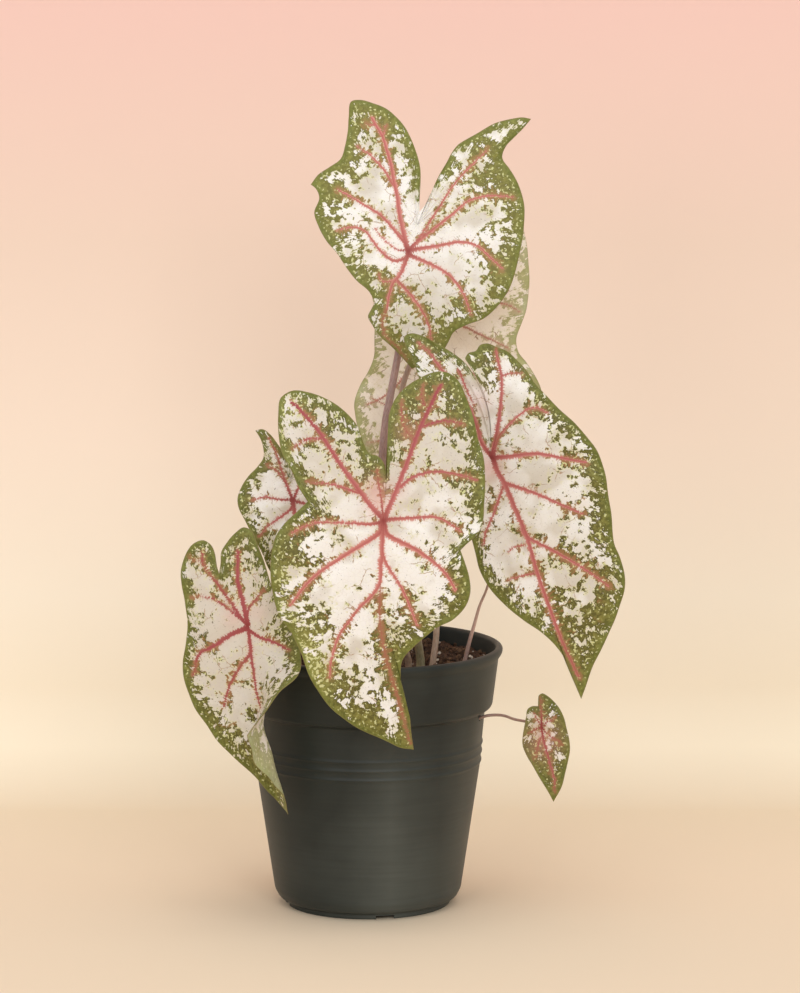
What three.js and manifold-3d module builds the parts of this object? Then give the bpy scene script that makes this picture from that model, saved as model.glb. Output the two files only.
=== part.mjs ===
// A caladium in a nursery pot: seven heart-shaped leaves on their petioles, the tuber
// that they grow from, the potting soil and the moulded pot. Millimetres, +Z up. The
// origin is the middle of the round pad under the pot, and -Y is the front.
import * as THREE from "three";
import Module from "manifold-3d";
import { mergeVertices } from "three/addons/utils/BufferGeometryUtils.js";

const wasm = await Module();
wasm.setup();

// Vertices closer than this are one.
const MERGE_TOLERANCE = 0.0005;

// Pot
const FLOOR_UNDER_Z = 2.2;
const FLOOR_TOP_Z = 4.2;
const PAD_RADIUS = 12;
const FOOT_INNER_RADIUS = 45;
const POT_SEGMENTS = 48;
const DRAIN_RADIUS = 4;
const DRAIN_CIRCLE = 32;
const DRAIN_COUNT = 4;
const DRAIN_FACETS = 20;
// slots in the foot ring that let the water out
const NOTCH_WIDTH = 11;
const NOTCH_HEIGHT = 2.2;
const NOTCH_DEPTH = 12;
const NOTCH_RADIUS = 47.5;
const NOTCH_ANGLES = [12.3, 102.3, 192.3, 282.3];
// outside of the pot from the foot ring to the crest of the rim: radius, height
const POT_OUTSIDE = [
  [46, 0], [49, 0], [49, 3.2], [49.8, 3.4], [53, 4.8], [55.4, 9.5],
  [66.7, 85.2], [67.6, 86.5], [66.9, 87.8], [67.1, 90.7], [68, 92], [67.3, 93.3],
  [67.5, 96.1], [68.4, 97.4], [67.7, 98.7],
  [69.3, 115.6], [69.6, 117.5], [72.4, 118.4], [73.8, 120], [74.1, 122],
  [77.4, 147.8], [78.6, 149.4], [79.7, 151.3], [79.9, 153.1], [79, 154.5], [77.1, 155.1],
];
// inside of the pot from the rim down to the floor
const POT_INSIDE = [
  [75.6, 154.2], [75.2, 151], [72.5, 122.6], [71.8, 120.6], [68.2, 119.2], [67.6, 116.5],
  [53.8, 9.8], [52.2, 6.3], [49.5, 4.8],
];

// Soil and tuber
const FIT_GAP = 0.3;
const SOIL_Z = 144.6;
const SOIL_SEGMENTS = 36;
const SOIL_BUMP = 1.6;
const SOIL_FLOOR_RADIUS = 48.5;
const SOIL_EDGE_RADIUS = 73.9;
const SOIL_EDGE_DROP = 1.6;
const SOIL_RINGS = [68, 54, 40, 26, 12, 0];
const TUBER = { x: 12, y: -15, z: 95, rx: 42, ry: 30, rz: 20, lump: 0.05 };
const TUBER_DETAIL = 3;
const CAVITY_SCALE = 1.02;
const SEAT_GAP = 1.4;
const FOOT_DRAW = 0.2;


// Leaves
const BLADE = 0.8;
const HUB_GAP = 0.3;
const HUB_STANDOFF = 8;
const RINGS = [0.35, 0.6, 0.8, 1];
const FOLD_SOFTNESS = 6;
const FOLD_REACH = 60;
const NUDGE = 0.05;
const MIN_STEP = 0.0004;
const LAP_SPREAD = 0.45;
const LAP_RISE = 30;

// Every margin is read clockwise from the sinus, seen from the front: x, z, and 1 at a
// sharp corner. Points are measured from the leaf's hub. lap is how far back the lobes
// right and left of the sinus lie where they meet.
const LEAVES = [
  {
    name: "top_leaf",
    hub: [24, -8, 389],
    pole: [5, 14.5],
    turn: 0,
    lean: [0, -0.32],
    bow: [0.001, 0.0035, 0.0012],
    fold: 0.1,
    margin: [
      [6.5, 22, 1], [9.5, 25.5], [13.5, 34.5], [18, 43], [22, 49.5], [25.6, 56],
      [29, 60], [33.5, 63], [42.5, 68], [52, 72.5], [61, 75], [67, 75.5], [72, 74.5, 1],
      [68, 70], [62, 64], [57, 59], [55, 53.5], [59, 46.5], [64.5, 37], [67.5, 26.5],
      [67.5, 14.5], [65.5, 2], [63, -9.5], [58.5, -22], [51.5, -32], [43.5, -39],
      [33.5, -42.5], [26.5, -46.5], [23, -53], [19, -59.5], [11.5, -65], [2, -68, 1],
      [-4, -61.5], [-10, -55], [-17, -48.5], [-21, -42.5], [-23.5, -37], [-21.5, -33.5],
      [-19.5, -29, 1], [-23, -23], [-30, -17], [-36, -9.5], [-41.5, -1.5], [-48, 6],
      [-52.5, 14], [-55, 22], [-52, 30.5], [-54, 35], [-57, 37.5, 1], [-53, 43],
      [-46, 47.5], [-39.5, 52.5], [-37, 59.5], [-35.5, 68], [-35, 76.5], [-33.5, 84.5],
      [-28, 85.5], [-20, 83.5], [-12, 80], [-5, 74], [1, 64.5], [5, 55], [7, 46.5],
      [7, 37], [6.5, 28.5],
    ],
    petiole: {
      radii: [3.4, 2.4, 1.9],
      path: [
        [-6, -24, 150], [2, -22, 168], [8, -16, 203], [8.5, -4, 262], [10.5, 0, 287],
        [13, 1, 300.5], [17.5, 3, 324], [22, 6, 353],
      ],
    },
  },
  {
    name: "front_leaf",
    hub: [9.5, -98, 244],
    pole: [0, -52.5],
    turn: 7,
    lean: [0, -0.1],
    bow: [0.0014, 0.0011, 0.0013],
    fold: 0.1,
    margin: [
      [1.5, 28, 1], [2, 38], [2.5, 49.5], [3.5, 60], [7.5, 69], [14.5, 76],
      [22.5, 80.5], [30.5, 83], [37, 82.5], [42.5, 78.5], [46.5, 70.5], [50.5, 60],
      [53.5, 47.5], [57, 35], [58, 22.5], [57.5, 10], [56.5, -1.5], [53, -8.5],
      [48, -13], [44, -17, 1], [46.5, -24], [49, -32.5], [49.5, -41.5], [46.5, -50],
      [40, -56.5], [32, -60.5], [25.5, -65.5], [17.5, -72.5], [11, -80.5], [10, -90.5],
      [12.5, -101], [15, -111.5], [16, -123], [17.5, -134, 1], [11, -133],
      [2.5, -128.5], [-8.5, -124], [-18.5, -118], [-28.5, -110], [-37, -99.5],
      [-43, -87.5], [-47, -76.5], [-52, -65.5], [-58.5, -56], [-62.5, -45], [-64, -31],
      [-63.5, -18.5], [-61, -9.5], [-56, -2], [-49.5, 4], [-43, 10.5, 1],
      [-47.5, 17.5], [-52, 27.5], [-57, 36.5], [-59.5, 47], [-59.5, 59], [-58, 68.5],
      [-52.5, 72], [-42.5, 71.5], [-30.5, 67], [-20.5, 60], [-14, 52], [-11, 43.5],
      [-8, 38], [-2.5, 36], [1, 31],
    ],
    petiole: {
      radii: [2.9, 2.1, 1.7],
      path: [[31, -34, 149.5], [30, -40, 161], [26.5, -50, 181.5], [21, -66, 207.5]],
    },
  },
  {
    name: "right_leaf",
    hub: [72.5, -55, 274],
    pole: [3.6, 0],
    lap: [4, -3],
    turn: 20,
    lean: [0.12, -0.08],
    bow: [0.001, 0.0008, 0.001],
    fold: 0.1,
    margin: [
      [-1.2, 13.5, 1], [-15.8, 56, 1], [-14, 59.5], [-9.5, 61], [-7.5, 64], [-3.5, 65],
      [2, 63], [8.5, 60.5], [14, 55.5], [19.5, 49.5], [25, 41.5], [32, 34], [39.5, 26.5],
      [47.5, 19], [55, 10.5], [61, 2], [64.5, -8], [66.5, -19.5], [68.5, -31.5],
      [69.5, -43.5, 1], [70.5, -51], [74, -59], [76.5, -67.5], [76.5, -78], [73, -90.5],
      [68, -103], [62, -115.5], [57, -127.5], [52, -142.5, 1], [48, -132],
      [43.5, -120.5], [37, -110.5], [28.5, -102], [18, -94.5], [7.5, -85.5],
      [-1.5, -75.5], [-7.5, -64.5], [-10, -54.5], [-13.5, -42], [-18.5, -29.5],
      [-24.5, -18], [-28.5, -5.5], [-32.5, 9], [-36, 23], [-39.5, 35.5], [-43, 47],
      [-46.5, 57], [-50.5, 64.5], [-51, 69], [-47.5, 71], [-41.5, 70], [-35, 66.5],
      [-27.5, 62.5], [-20.5, 58], [-16.8, 53, 1],
    ],
    petiole: {
      radii: [1.7, 1.3, 1.2],
      path: [
        [57, -26, 149.5], [60, -30, 163], [62.5, -32, 172.5], [65.5, -35, 184],
        [70, -38, 196], [74, -42, 218], [76.5, -46, 242],
      ],
    },
  },
  {
    name: "left_leaf",
    hub: [-43, -45, 248],
    pole: [-1, 12],
    turn: -2,
    lean: [-0.25, -0.1],
    bow: [0.0015, 0.0012, 0.0015],
    fold: 0.1,
    margin: [
      [-0.5, 17, 1], [3, 26], [8.5, 34], [15, 39.5], [22.5, 42.5, 1], [24, 33],
      [24, 23], [27, 13.5], [30.5, 3.5], [31, -8], [28, -21], [23, -34.5], [17, -47.5],
      [12, -59.5], [6.5, -71.5, 1], [0.5, -62.5], [-5.5, -54], [-11, -45.5],
      [-15, -38.5], [-18.5, -30], [-22.5, -23], [-26.5, -16], [-29, -11], [-31, -6.5],
      [-32, 0], [-30, 6.5], [-26, 12.5], [-20.5, 18.5], [-17, 24], [-17, 29.5],
      [-18.5, 34], [-22, 39, 1], [-18, 40], [-13, 37], [-8.5, 31.5], [-4, 24.5],
    ],
    petiole: {
      radii: [2.2, 1.9, 1.5],
      path: [
        [24, -25, 149.5], [18, -30, 164], [4.5, -36, 194], [-15.5, -39, 223.5],
        [-31, -38, 240],
      ],
    },
  },
  {
    name: "curled_leaf",
    hub: [-68.5, -68, 178.5],
    pole: [-8, -44.5],
    turn: 12,
    lean: [-0.28, -0.05],
    bow: [0.0013, 0.001, 0.0012],
    fold: 0.1,
    rings: [0.2, 0.32, 0.44, 0.56, 0.7, 0.85, 1],
    curl: { at: [1.5, -51.5], turn: 13.8, start: -32, end: 7, most: 126, wide: 16.5, narrow: 15.5 },
    margin: [
      [-16.5, 29, 1], [-15.5, 35.5], [-15.5, 41.5], [-12, 47.5], [-7, 53], [-2, 56.5],
      [2, 55], [5.5, 48], [8.5, 39.5], [12, 30], [16, 18.5], [21, 6.5], [26.5, -4.5],
      [31, -14.5], [34.5, -23.5], [31, -31.5], [31, -40], [32.5, -49.5], [34.5, -58.5],
      [36, -66], [34.5, -72.5], [32.5, -79], [29.5, -88], [26.5, -96], [25.5, -103],
      [24.5, -111.5, 1], [20, -109.5], [14, -102.5], [6.5, -94], [-2, -85.5],
      [-11, -77.5], [-19.5, -68], [-26.5, -58.5], [-33, -47], [-37, -36], [-38.5, -24.5],
      [-36, -12.5], [-35.5, -1], [-36.5, 11], [-38.5, 21.5], [-38.5, 32.5], [-35.5, 41],
      [-31, 46], [-25.5, 48], [-21.5, 45.5], [-19, 40], [-18, 33.5],
    ],
    petiole: {
      radii: [2, 1.7, 1.4],
      path: [[6, -44, 149.5], [1, -50, 169], [-12, -55, 183], [-30, -57, 190], [-50, -58, 188]],
    },
  },
  {
    name: "back_leaf",
    hub: [43, 30, 345.5],
    pole: [0, -7],
    turn: 0,
    lean: [0, 0.12],
    bow: [0.0008, 0.001, 0.001],
    fold: -0.08,
    underside: true,
    margin: [
      [0, 21, 1], [3.5, 28.5], [9.5, 40.5], [17.5, 52.5], [27, 61], [37, 64.5],
      [45.5, 60.5], [50, 48.5], [52, 33], [52.5, 19], [51, 5.5], [47.5, -5], [45, -13.5],
      [46.5, -21], [51, -27], [56.5, -35.5], [60.5, -45.5], [59, -56.5], [53, -70.5],
      [42, -84.5], [29, -99], [16, -113], [4.5, -125.5], [-4.5, -138.5, 1],
      [-14.5, -130], [-23.5, -119.5], [-31.5, -108], [-38, -96.5], [-44, -84.5],
      [-48, -72], [-50.5, -61], [-51, -51.5], [-47.5, -41], [-42.5, -32], [-39.5, -24],
      [-39, -14], [-39, -4.5], [-39, 5.5], [-41.5, 17], [-45, 28.5], [-46.5, 40.5],
      [-44.5, 51.5], [-36.5, 57.5], [-28.5, 54.5], [-20, 46.5], [-12, 37], [-5.5, 28.5],
    ],
    petiole: {
      radii: [1.9, 1.6, 1.7],
      path: [
        [38.5, -22, 149.5], [40.5, -19, 166], [39, -13, 190], [34, -5, 224],
        [25.5, 3, 258.5], [20.5, 8, 284.5], [19.5, 10, 299.5], [22.5, 12.5, 313],
        [30, 16, 329],
      ],
    },
  },
  {
    name: "small_leaf",
    hub: [103, -12, 107.5],
    pole: [-0.5, 4],
    turn: 9,
    lean: [0.1, -0.05],
    bow: [0.003, 0.001, 0.002],
    fold: 0.1,
    margin: [
      [-2.5, 12.5, 1], [-2.5, 16], [-2, 19], [0, 20], [3, 18.5], [7.5, 14.5],
      [10.5, 10.5], [13, 5], [14.5, -1], [16, -7.5], [16.5, -13.5], [15.5, -20.5],
      [13.5, -28.5], [11.5, -36], [7, -45, 1], [3.5, -38.5], [-1, -31], [-5.5, -23],
      [-9.5, -16], [-11.5, -10.5], [-11.5, -4.5], [-10.5, 1.5], [-9.5, 6.5], [-8.5, 11],
      [-6, 12.5],
    ],
    petiole: {
      radii: [1, 0.85, 0.8],
      foot: [50, -14.5, 107],
      path: [
        [64, -19.7, 113.8], [70.5, -21.5, 116.3], [79, -19, 116], [87, -11, 112],
        [95, -6.5, 109.5],
      ],
      standoff: 4,
    },
  },
];

const PETIOLE_SIDES = 8;
const PETIOLE_SPACING = 8;
const BORE_GAP = 0.6;
const BORE_SINK = 6;

function fromArrays(positions, triangles) {
  const mesh = new wasm.Mesh({
    numProp: 3,
    vertProperties: new Float32Array(positions),
    triVerts: new Uint32Array(triangles),
  });
  return new wasm.Manifold(mesh);
}

function toGeometry(solid) {
  const mesh = solid.getMesh();
  const geometry = new THREE.BufferGeometry();
  geometry.setAttribute("position", new THREE.Float32BufferAttribute(mesh.vertProperties, 3));
  geometry.setIndex(new THREE.Uint32BufferAttribute(mesh.triVerts, 1));
  const split = geometry.toNonIndexed();
  split.computeVertexNormals();
  return split;
}

// A solid of a closed three.js geometry, its shared vertices merged.
function toSolid(geometry) {
  const bare = new THREE.BufferGeometry();
  bare.setAttribute("position", geometry.attributes.position);
  bare.setIndex(geometry.index);
  const merged = mergeVertices(bare, MERGE_TOLERANCE);
  return fromArrays(merged.attributes.position.array, withoutSlivers(merged.index.array));
}

// Leaves out the triangles that merging the vertices has closed up, as at a lathe's axis.
function withoutSlivers(index) {
  const kept = [];
  for (let i = 0; i < index.length; i += 3) {
    const [a, b, c] = index.slice(i, i + 3);
    if (a !== b && b !== c && c !== a) {
      kept.push(a, b, c);
    }
  }
  return kept;
}

// A surface of revolution about Z; its profile of radius, height starts and ends on the axis.
function revolve(profile, segments) {
  const points = profile.map(([radius, z]) => new THREE.Vector2(radius, z));
  const lathe = new THREE.LatheGeometry(points, segments);
  lathe.rotateX(Math.PI / 2);
  return lathe;
}

function potProfile() {
  const underside = [
    [0, 0], [PAD_RADIUS, 0], [PAD_RADIUS + 1, FLOOR_UNDER_Z], [FOOT_INNER_RADIUS, FLOOR_UNDER_Z],
  ];
  const floor = [[PAD_RADIUS, FLOOR_TOP_Z], [0, FLOOR_TOP_Z]];
  return [...underside, ...POT_OUTSIDE, ...POT_INSIDE, ...floor];
}

function makePot(petioleBore) {
  let pot = toSolid(revolve(potProfile(), POT_SEGMENTS));
  for (let i = 0; i < DRAIN_COUNT; i++) {
    const drain = new THREE.CylinderGeometry(DRAIN_RADIUS, DRAIN_RADIUS, 4 * FLOOR_TOP_Z, DRAIN_FACETS);
    drain.rotateX(Math.PI / 2);
    drain.translate(DRAIN_CIRCLE, 0, 0);
    drain.rotateZ((2 * Math.PI * (i + 0.5)) / DRAIN_COUNT);
    pot = pot.subtract(toSolid(drain));
  }
  for (const degrees of NOTCH_ANGLES) {
    const notch = new THREE.BoxGeometry(NOTCH_DEPTH, NOTCH_WIDTH, 2 * NOTCH_HEIGHT);
    notch.translate(NOTCH_RADIUS, 0, 0);
    notch.rotateZ(THREE.MathUtils.degToRad(degrees - 90));
    pot = pot.subtract(toSolid(notch));
  }
  return pot.subtract(petioleBore);
}

function soilBump(x, y) {
  return (
    SOIL_BUMP * 0.45 * Math.sin(0.21 * x + 0.9) * Math.cos(0.17 * y - 0.4) +
    SOIL_BUMP * 0.35 * Math.sin(0.13 * x - 0.29 * y) +
    SOIL_BUMP * 0.2 * Math.cos(0.41 * x + 0.33 * y + 1.1)
  );
}

function makeSoil(cavity, bores) {
  const wall = POT_INSIDE.slice(2)
    .reverse()
    .map(([radius, z]) => [radius - FIT_GAP, z]);
  const profile = [
    [0, FLOOR_TOP_Z + FIT_GAP],
    [SOIL_FLOOR_RADIUS, POT_INSIDE.at(-1)[1] + FIT_GAP],
    ...wall,
    [SOIL_EDGE_RADIUS, SOIL_Z - SOIL_EDGE_DROP],
    ...SOIL_RINGS.map((radius) => [radius, SOIL_Z]),
  ];
  const geometry = revolve(profile, SOIL_SEGMENTS);
  const position = geometry.attributes.position;
  for (let i = 0; i < position.count; i++) {
    const z = position.getZ(i);
    if (z > SOIL_Z - SOIL_EDGE_DROP / 2) {
      position.setZ(i, z + soilBump(position.getX(i), position.getY(i)));
    }
  }
  let soil = toSolid(geometry).subtract(cavity);
  for (const bore of bores) {
    soil = soil.subtract(bore);
  }
  return soil;
}

function tuberLump(x, y, z) {
  return 1 + TUBER.lump * Math.sin(5 * x + 1) * Math.cos(4 * y - 0.5) * Math.cos(3 * z);
}

function makeTuber(scale) {
  const ball = new THREE.IcosahedronGeometry(1, TUBER_DETAIL);
  const position = ball.attributes.position;
  for (let i = 0; i < position.count; i++) {
    const x = position.getX(i);
    const y = position.getY(i);
    const z = position.getZ(i);
    const size = scale * tuberLump(x, y, z);
    position.setXYZ(
      i,
      TUBER.x + TUBER.rx * size * x,
      TUBER.y + TUBER.ry * size * y,
      TUBER.z + TUBER.rz * size * z,
    );
  }
  return toSolid(ball);
}

function tuberTop(x, y) {
  const u = (x - TUBER.x) / TUBER.rx;
  const v = (y - TUBER.y) / TUBER.ry;
  return TUBER.z + TUBER.rz * (1 + TUBER.lump) * Math.sqrt(Math.max(0, 1 - u * u - v * v));
}

// How far the blade lies behind its hub at x, z: leaned, bowed and folded at the midrib.
function depth(leaf, x, z) {
  const a = THREE.MathUtils.degToRad(leaf.turn);
  const along = x * Math.sin(a) - z * Math.cos(a);
  const across = x * Math.cos(a) + z * Math.sin(a);
  const bow = along > 0 ? leaf.bow[1] : leaf.bow[2];
  const crease = Math.hypot(across, FOLD_SOFTNESS) - FOLD_SOFTNESS;
  return (
    leaf.lean[0] * across +
    leaf.lean[1] * along +
    leaf.bow[0] * across * across +
    bow * along * along -
    leaf.fold * crease * Math.exp(-Math.abs(across) / FOLD_REACH)
  );
}

// Rolls the part of a blade right of a line forward over itself.
function curled(curl, [x, y, z]) {
  const a = THREE.MathUtils.degToRad(curl.turn);
  const dx = x - curl.at[0];
  const dz = z - curl.at[1];
  const along = dx * Math.sin(a) - dz * Math.cos(a);
  const off = dx * Math.cos(a) + dz * Math.sin(a);
  if (off <= 0) {
    return [x, y, z];
  }
  const share = THREE.MathUtils.clamp((along - curl.start) / (curl.end - curl.start), 1e-4, 1);
  const angle = THREE.MathUtils.degToRad(curl.most) * share;
  const width = THREE.MathUtils.lerp(curl.wide, curl.narrow, share);
  const radius = width / angle;
  const rolled = angle * Math.min(off / width, 1);
  const rest = Math.max(off - width, 0);
  const shift = radius * Math.sin(rolled) + rest * Math.cos(angle) - off;
  const forward = radius * (1 - Math.cos(rolled)) + rest * Math.sin(angle);
  return [x + shift * Math.cos(a), y - forward, z + shift * Math.sin(a)];
}

function place(leaf, x, z, back) {
  const flat = [x, depth(leaf, x, z) + back, z];
  const [px, py, pz] = leaf.curl ? curled(leaf.curl, flat) : flat;
  return new THREE.Vector3(leaf.hub[0] + px, leaf.hub[1] + py, leaf.hub[2] + pz);
}

// The margin seen from the pole as angle, radius and set-back, its angle always growing.
function marginRays(leaf) {
  const [right, left] = leaf.lap ?? [0, 0];
  let first = null;
  let last = -Infinity;
  return leaf.margin.map(([x, z]) => {
    const u = x - leaf.pole[0];
    const v = z - leaf.pole[1];
    let angle = Math.atan2(u, v);
    while (angle < last - Math.PI) {
      angle += 2 * Math.PI;
    }
    angle = Math.max(angle, last + MIN_STEP);
    first ??= angle;
    last = angle;
    const past = (angle - first) / LAP_SPREAD;
    const ahead = (2 * Math.PI - angle + first) / LAP_SPREAD;
    const back = right * Math.exp(-past * past) + left * Math.exp(-ahead * ahead);
    return { angle, radius: Math.hypot(u, v), back };
  });
}

function bladePoint(leaf, ray, share) {
  const z = leaf.pole[1] + share * ray.radius * Math.cos(ray.angle);
  const x = leaf.pole[0] + share * ray.radius * Math.sin(ray.angle);
  const reach = (share * ray.radius) / LAP_RISE;
  const back = ray.back * (1 - Math.exp(-reach * reach));
  const middle = place(leaf, x, z, back);
  const right = place(leaf, x + NUDGE, z, back).sub(middle);
  const up = place(leaf, x, z + NUDGE, back).sub(middle);
  const normal = right.cross(up).normalize();
  return { middle, normal };
}

// One thin closed sheet: rings of points about the pole, the same on both faces.
function makeBlade(leaf) {
  const rays = marginRays(leaf);
  const rings = leaf.rings ?? RINGS;
  const grid = [bladePoint(leaf, rays[0], 0)];
  for (const share of rings) {
    for (const ray of rays) {
      grid.push(bladePoint(leaf, ray, share));
    }
  }
  const points = [];
  for (const side of [0.5, -0.5]) {
    for (const { middle, normal } of grid) {
      points.push(...middle.clone().addScaledVector(normal, side * BLADE).toArray());
    }
  }
  const count = rays.length;
  const back = grid.length;
  const triangles = [];
  const both = (a, b, c) => triangles.push(a, c, b, a + back, b + back, c + back);
  for (let j = 0; j < count; j++) {
    const next = (j + 1) % count;
    both(0, 1 + j, 1 + next);
    for (let i = 1; i < rings.length; i++) {
      const inner = 1 + (i - 1) * count;
      const outer = inner + count;
      both(inner + j, outer + j, outer + next);
      both(inner + j, outer + next, inner + next);
    }
    const rim = 1 + (rings.length - 1) * count;
    triangles.push(rim + j, rim + next, rim + next + back);
    triangles.push(rim + j, rim + next + back, rim + j + back);
  }
  return fromArrays(points, triangles);
}

// Where a petiole that meets the ground at a point leaves the top of the tuber.
function tuberFoot(ground) {
  const x = THREE.MathUtils.lerp(ground.x, TUBER.x, FOOT_DRAW);
  const y = THREE.MathUtils.lerp(ground.y, TUBER.y, FOOT_DRAW);
  return new THREE.Vector3(x, y, tuberTop(x, y) + SEAT_GAP);
}

// The middle line of a petiole; sink carries it on below its foot by that much.
function petioleCurve(leaf, sink) {
  const { path, foot } = leaf.petiole;
  const ground = new THREE.Vector3(...path[0]);
  const first = foot ? new THREE.Vector3(...foot) : tuberFoot(ground);
  const hub = place(leaf, 0, 0, 0);
  const right = place(leaf, NUDGE, 0, 0).sub(hub);
  const up = place(leaf, 0, NUDGE, 0).sub(hub);
  const outward = right.cross(up).normalize();
  const away = leaf.underside ? outward : outward.negate();
  const down = first.clone().sub(ground).normalize();
  const points = [
    first.clone().addScaledVector(down, sink),
    first.clone().lerp(ground, 0.5),
    ...path.map((point) => new THREE.Vector3(...point)),
    hub.clone().addScaledVector(away, leaf.petiole.standoff ?? HUB_STANDOFF),
    hub.clone().addScaledVector(away, BLADE / 2 + HUB_GAP),
  ];
  return new THREE.CatmullRomCurve3(points, false, "centripetal");
}

// A round stalk along a curve, its radius going from base to middle to tip.
function sweep(curve, radii, sides, extra) {
  const steps = Math.ceil(curve.getLength() / PETIOLE_SPACING);
  const frames = curve.computeFrenetFrames(steps, false);
  const points = [];
  for (let i = 0; i <= steps; i++) {
    const share = i / steps;
    const half = Math.min(share * 2, 1);
    const late = Math.max(share * 2 - 1, 0);
    const radius = radii[0] + (radii[1] - radii[0]) * half + (radii[2] - radii[1]) * late + extra;
    const centre = curve.getPointAt(share);
    for (let j = 0; j < sides; j++) {
      const angle = (2 * Math.PI * j) / sides;
      const point = centre
        .clone()
        .addScaledVector(frames.normals[i], radius * Math.cos(angle))
        .addScaledVector(frames.binormals[i], radius * Math.sin(angle));
      points.push(...point.toArray());
    }
  }
  const triangles = [];
  const top = steps * sides;
  for (let j = 0; j < sides; j++) {
    const next = (j + 1) % sides;
    for (let i = 0; i < steps; i++) {
      const low = i * sides;
      const high = low + sides;
      triangles.push(low + j, low + next, high + next, low + j, high + next, high + j);
    }
    if (j > 0 && j < sides - 1) {
      triangles.push(0, j + 1, j, top, top + j, top + j + 1);
    }
  }
  return fromArrays(points, triangles);
}

const group = new THREE.Group();

function addPart(name, solid, color, roughness) {
  const material = new THREE.MeshStandardMaterial({ color, roughness });
  material.name = name;
  const mesh = new THREE.Mesh(toGeometry(solid), material);
  mesh.name = name;
  group.add(mesh);
}

const bores = [];
let smallBore = null;
for (const leaf of LEAVES) {
  const curve = petioleCurve(leaf, 0);
  addPart(`${leaf.name}_petiole`, sweep(curve, leaf.petiole.radii, PETIOLE_SIDES, 0), 0x9a7a74, 0.6);
  addPart(`${leaf.name}_blade`, makeBlade(leaf), 0x8fa05a, 0.6);
  const bore = sweep(petioleCurve(leaf, BORE_SINK), leaf.petiole.radii, PETIOLE_SIDES, BORE_GAP);
  bores.push(bore);
  if (leaf.petiole.foot) {
    smallBore = bore;
  }
}
addPart("pot", makePot(smallBore), 0x2c302c, 0.55);
addPart("soil", makeSoil(makeTuber(CAVITY_SCALE), bores), 0x33261c, 0.95);
addPart("tuber", makeTuber(1), 0x6b4a33, 0.85);

export default group;
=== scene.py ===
"""A potted caladium: seven mottled leaves on their petioles, the potting soil and the moulded
nursery pot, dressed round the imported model. Metres, +Z up, -Y is the front."""
import math
from functools import partial

import bpy
import numpy as np
from bpy.props import FloatProperty, FloatVectorProperty, IntProperty, PointerProperty
from bpy.types import Operator, Panel, PropertyGroup
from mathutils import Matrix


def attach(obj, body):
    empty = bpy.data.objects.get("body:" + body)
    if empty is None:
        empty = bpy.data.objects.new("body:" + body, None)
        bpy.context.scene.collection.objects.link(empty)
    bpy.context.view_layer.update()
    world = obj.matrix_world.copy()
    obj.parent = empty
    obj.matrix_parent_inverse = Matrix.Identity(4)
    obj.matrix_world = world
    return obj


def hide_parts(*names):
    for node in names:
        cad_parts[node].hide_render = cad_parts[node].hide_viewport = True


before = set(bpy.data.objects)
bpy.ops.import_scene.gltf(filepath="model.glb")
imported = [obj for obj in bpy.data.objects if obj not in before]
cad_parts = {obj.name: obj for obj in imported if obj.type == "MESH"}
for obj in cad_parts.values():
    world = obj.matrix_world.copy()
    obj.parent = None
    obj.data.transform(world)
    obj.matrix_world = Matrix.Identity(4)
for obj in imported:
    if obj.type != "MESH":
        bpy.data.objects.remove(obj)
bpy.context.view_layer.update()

bl_info = {
    "name": "Potted Caladium",
    "version": (1, 0, 0),
    "blender": (4, 5, 0),
    "location": "View3D > Sidebar > Caladium",
    "description": "Grows a potted caladium round its packed model",
    "category": "Add Mesh",
}

MM = 0.001
BODY = "root"


# ---------------------------------------------------------------- the plant's measures, mm

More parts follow.
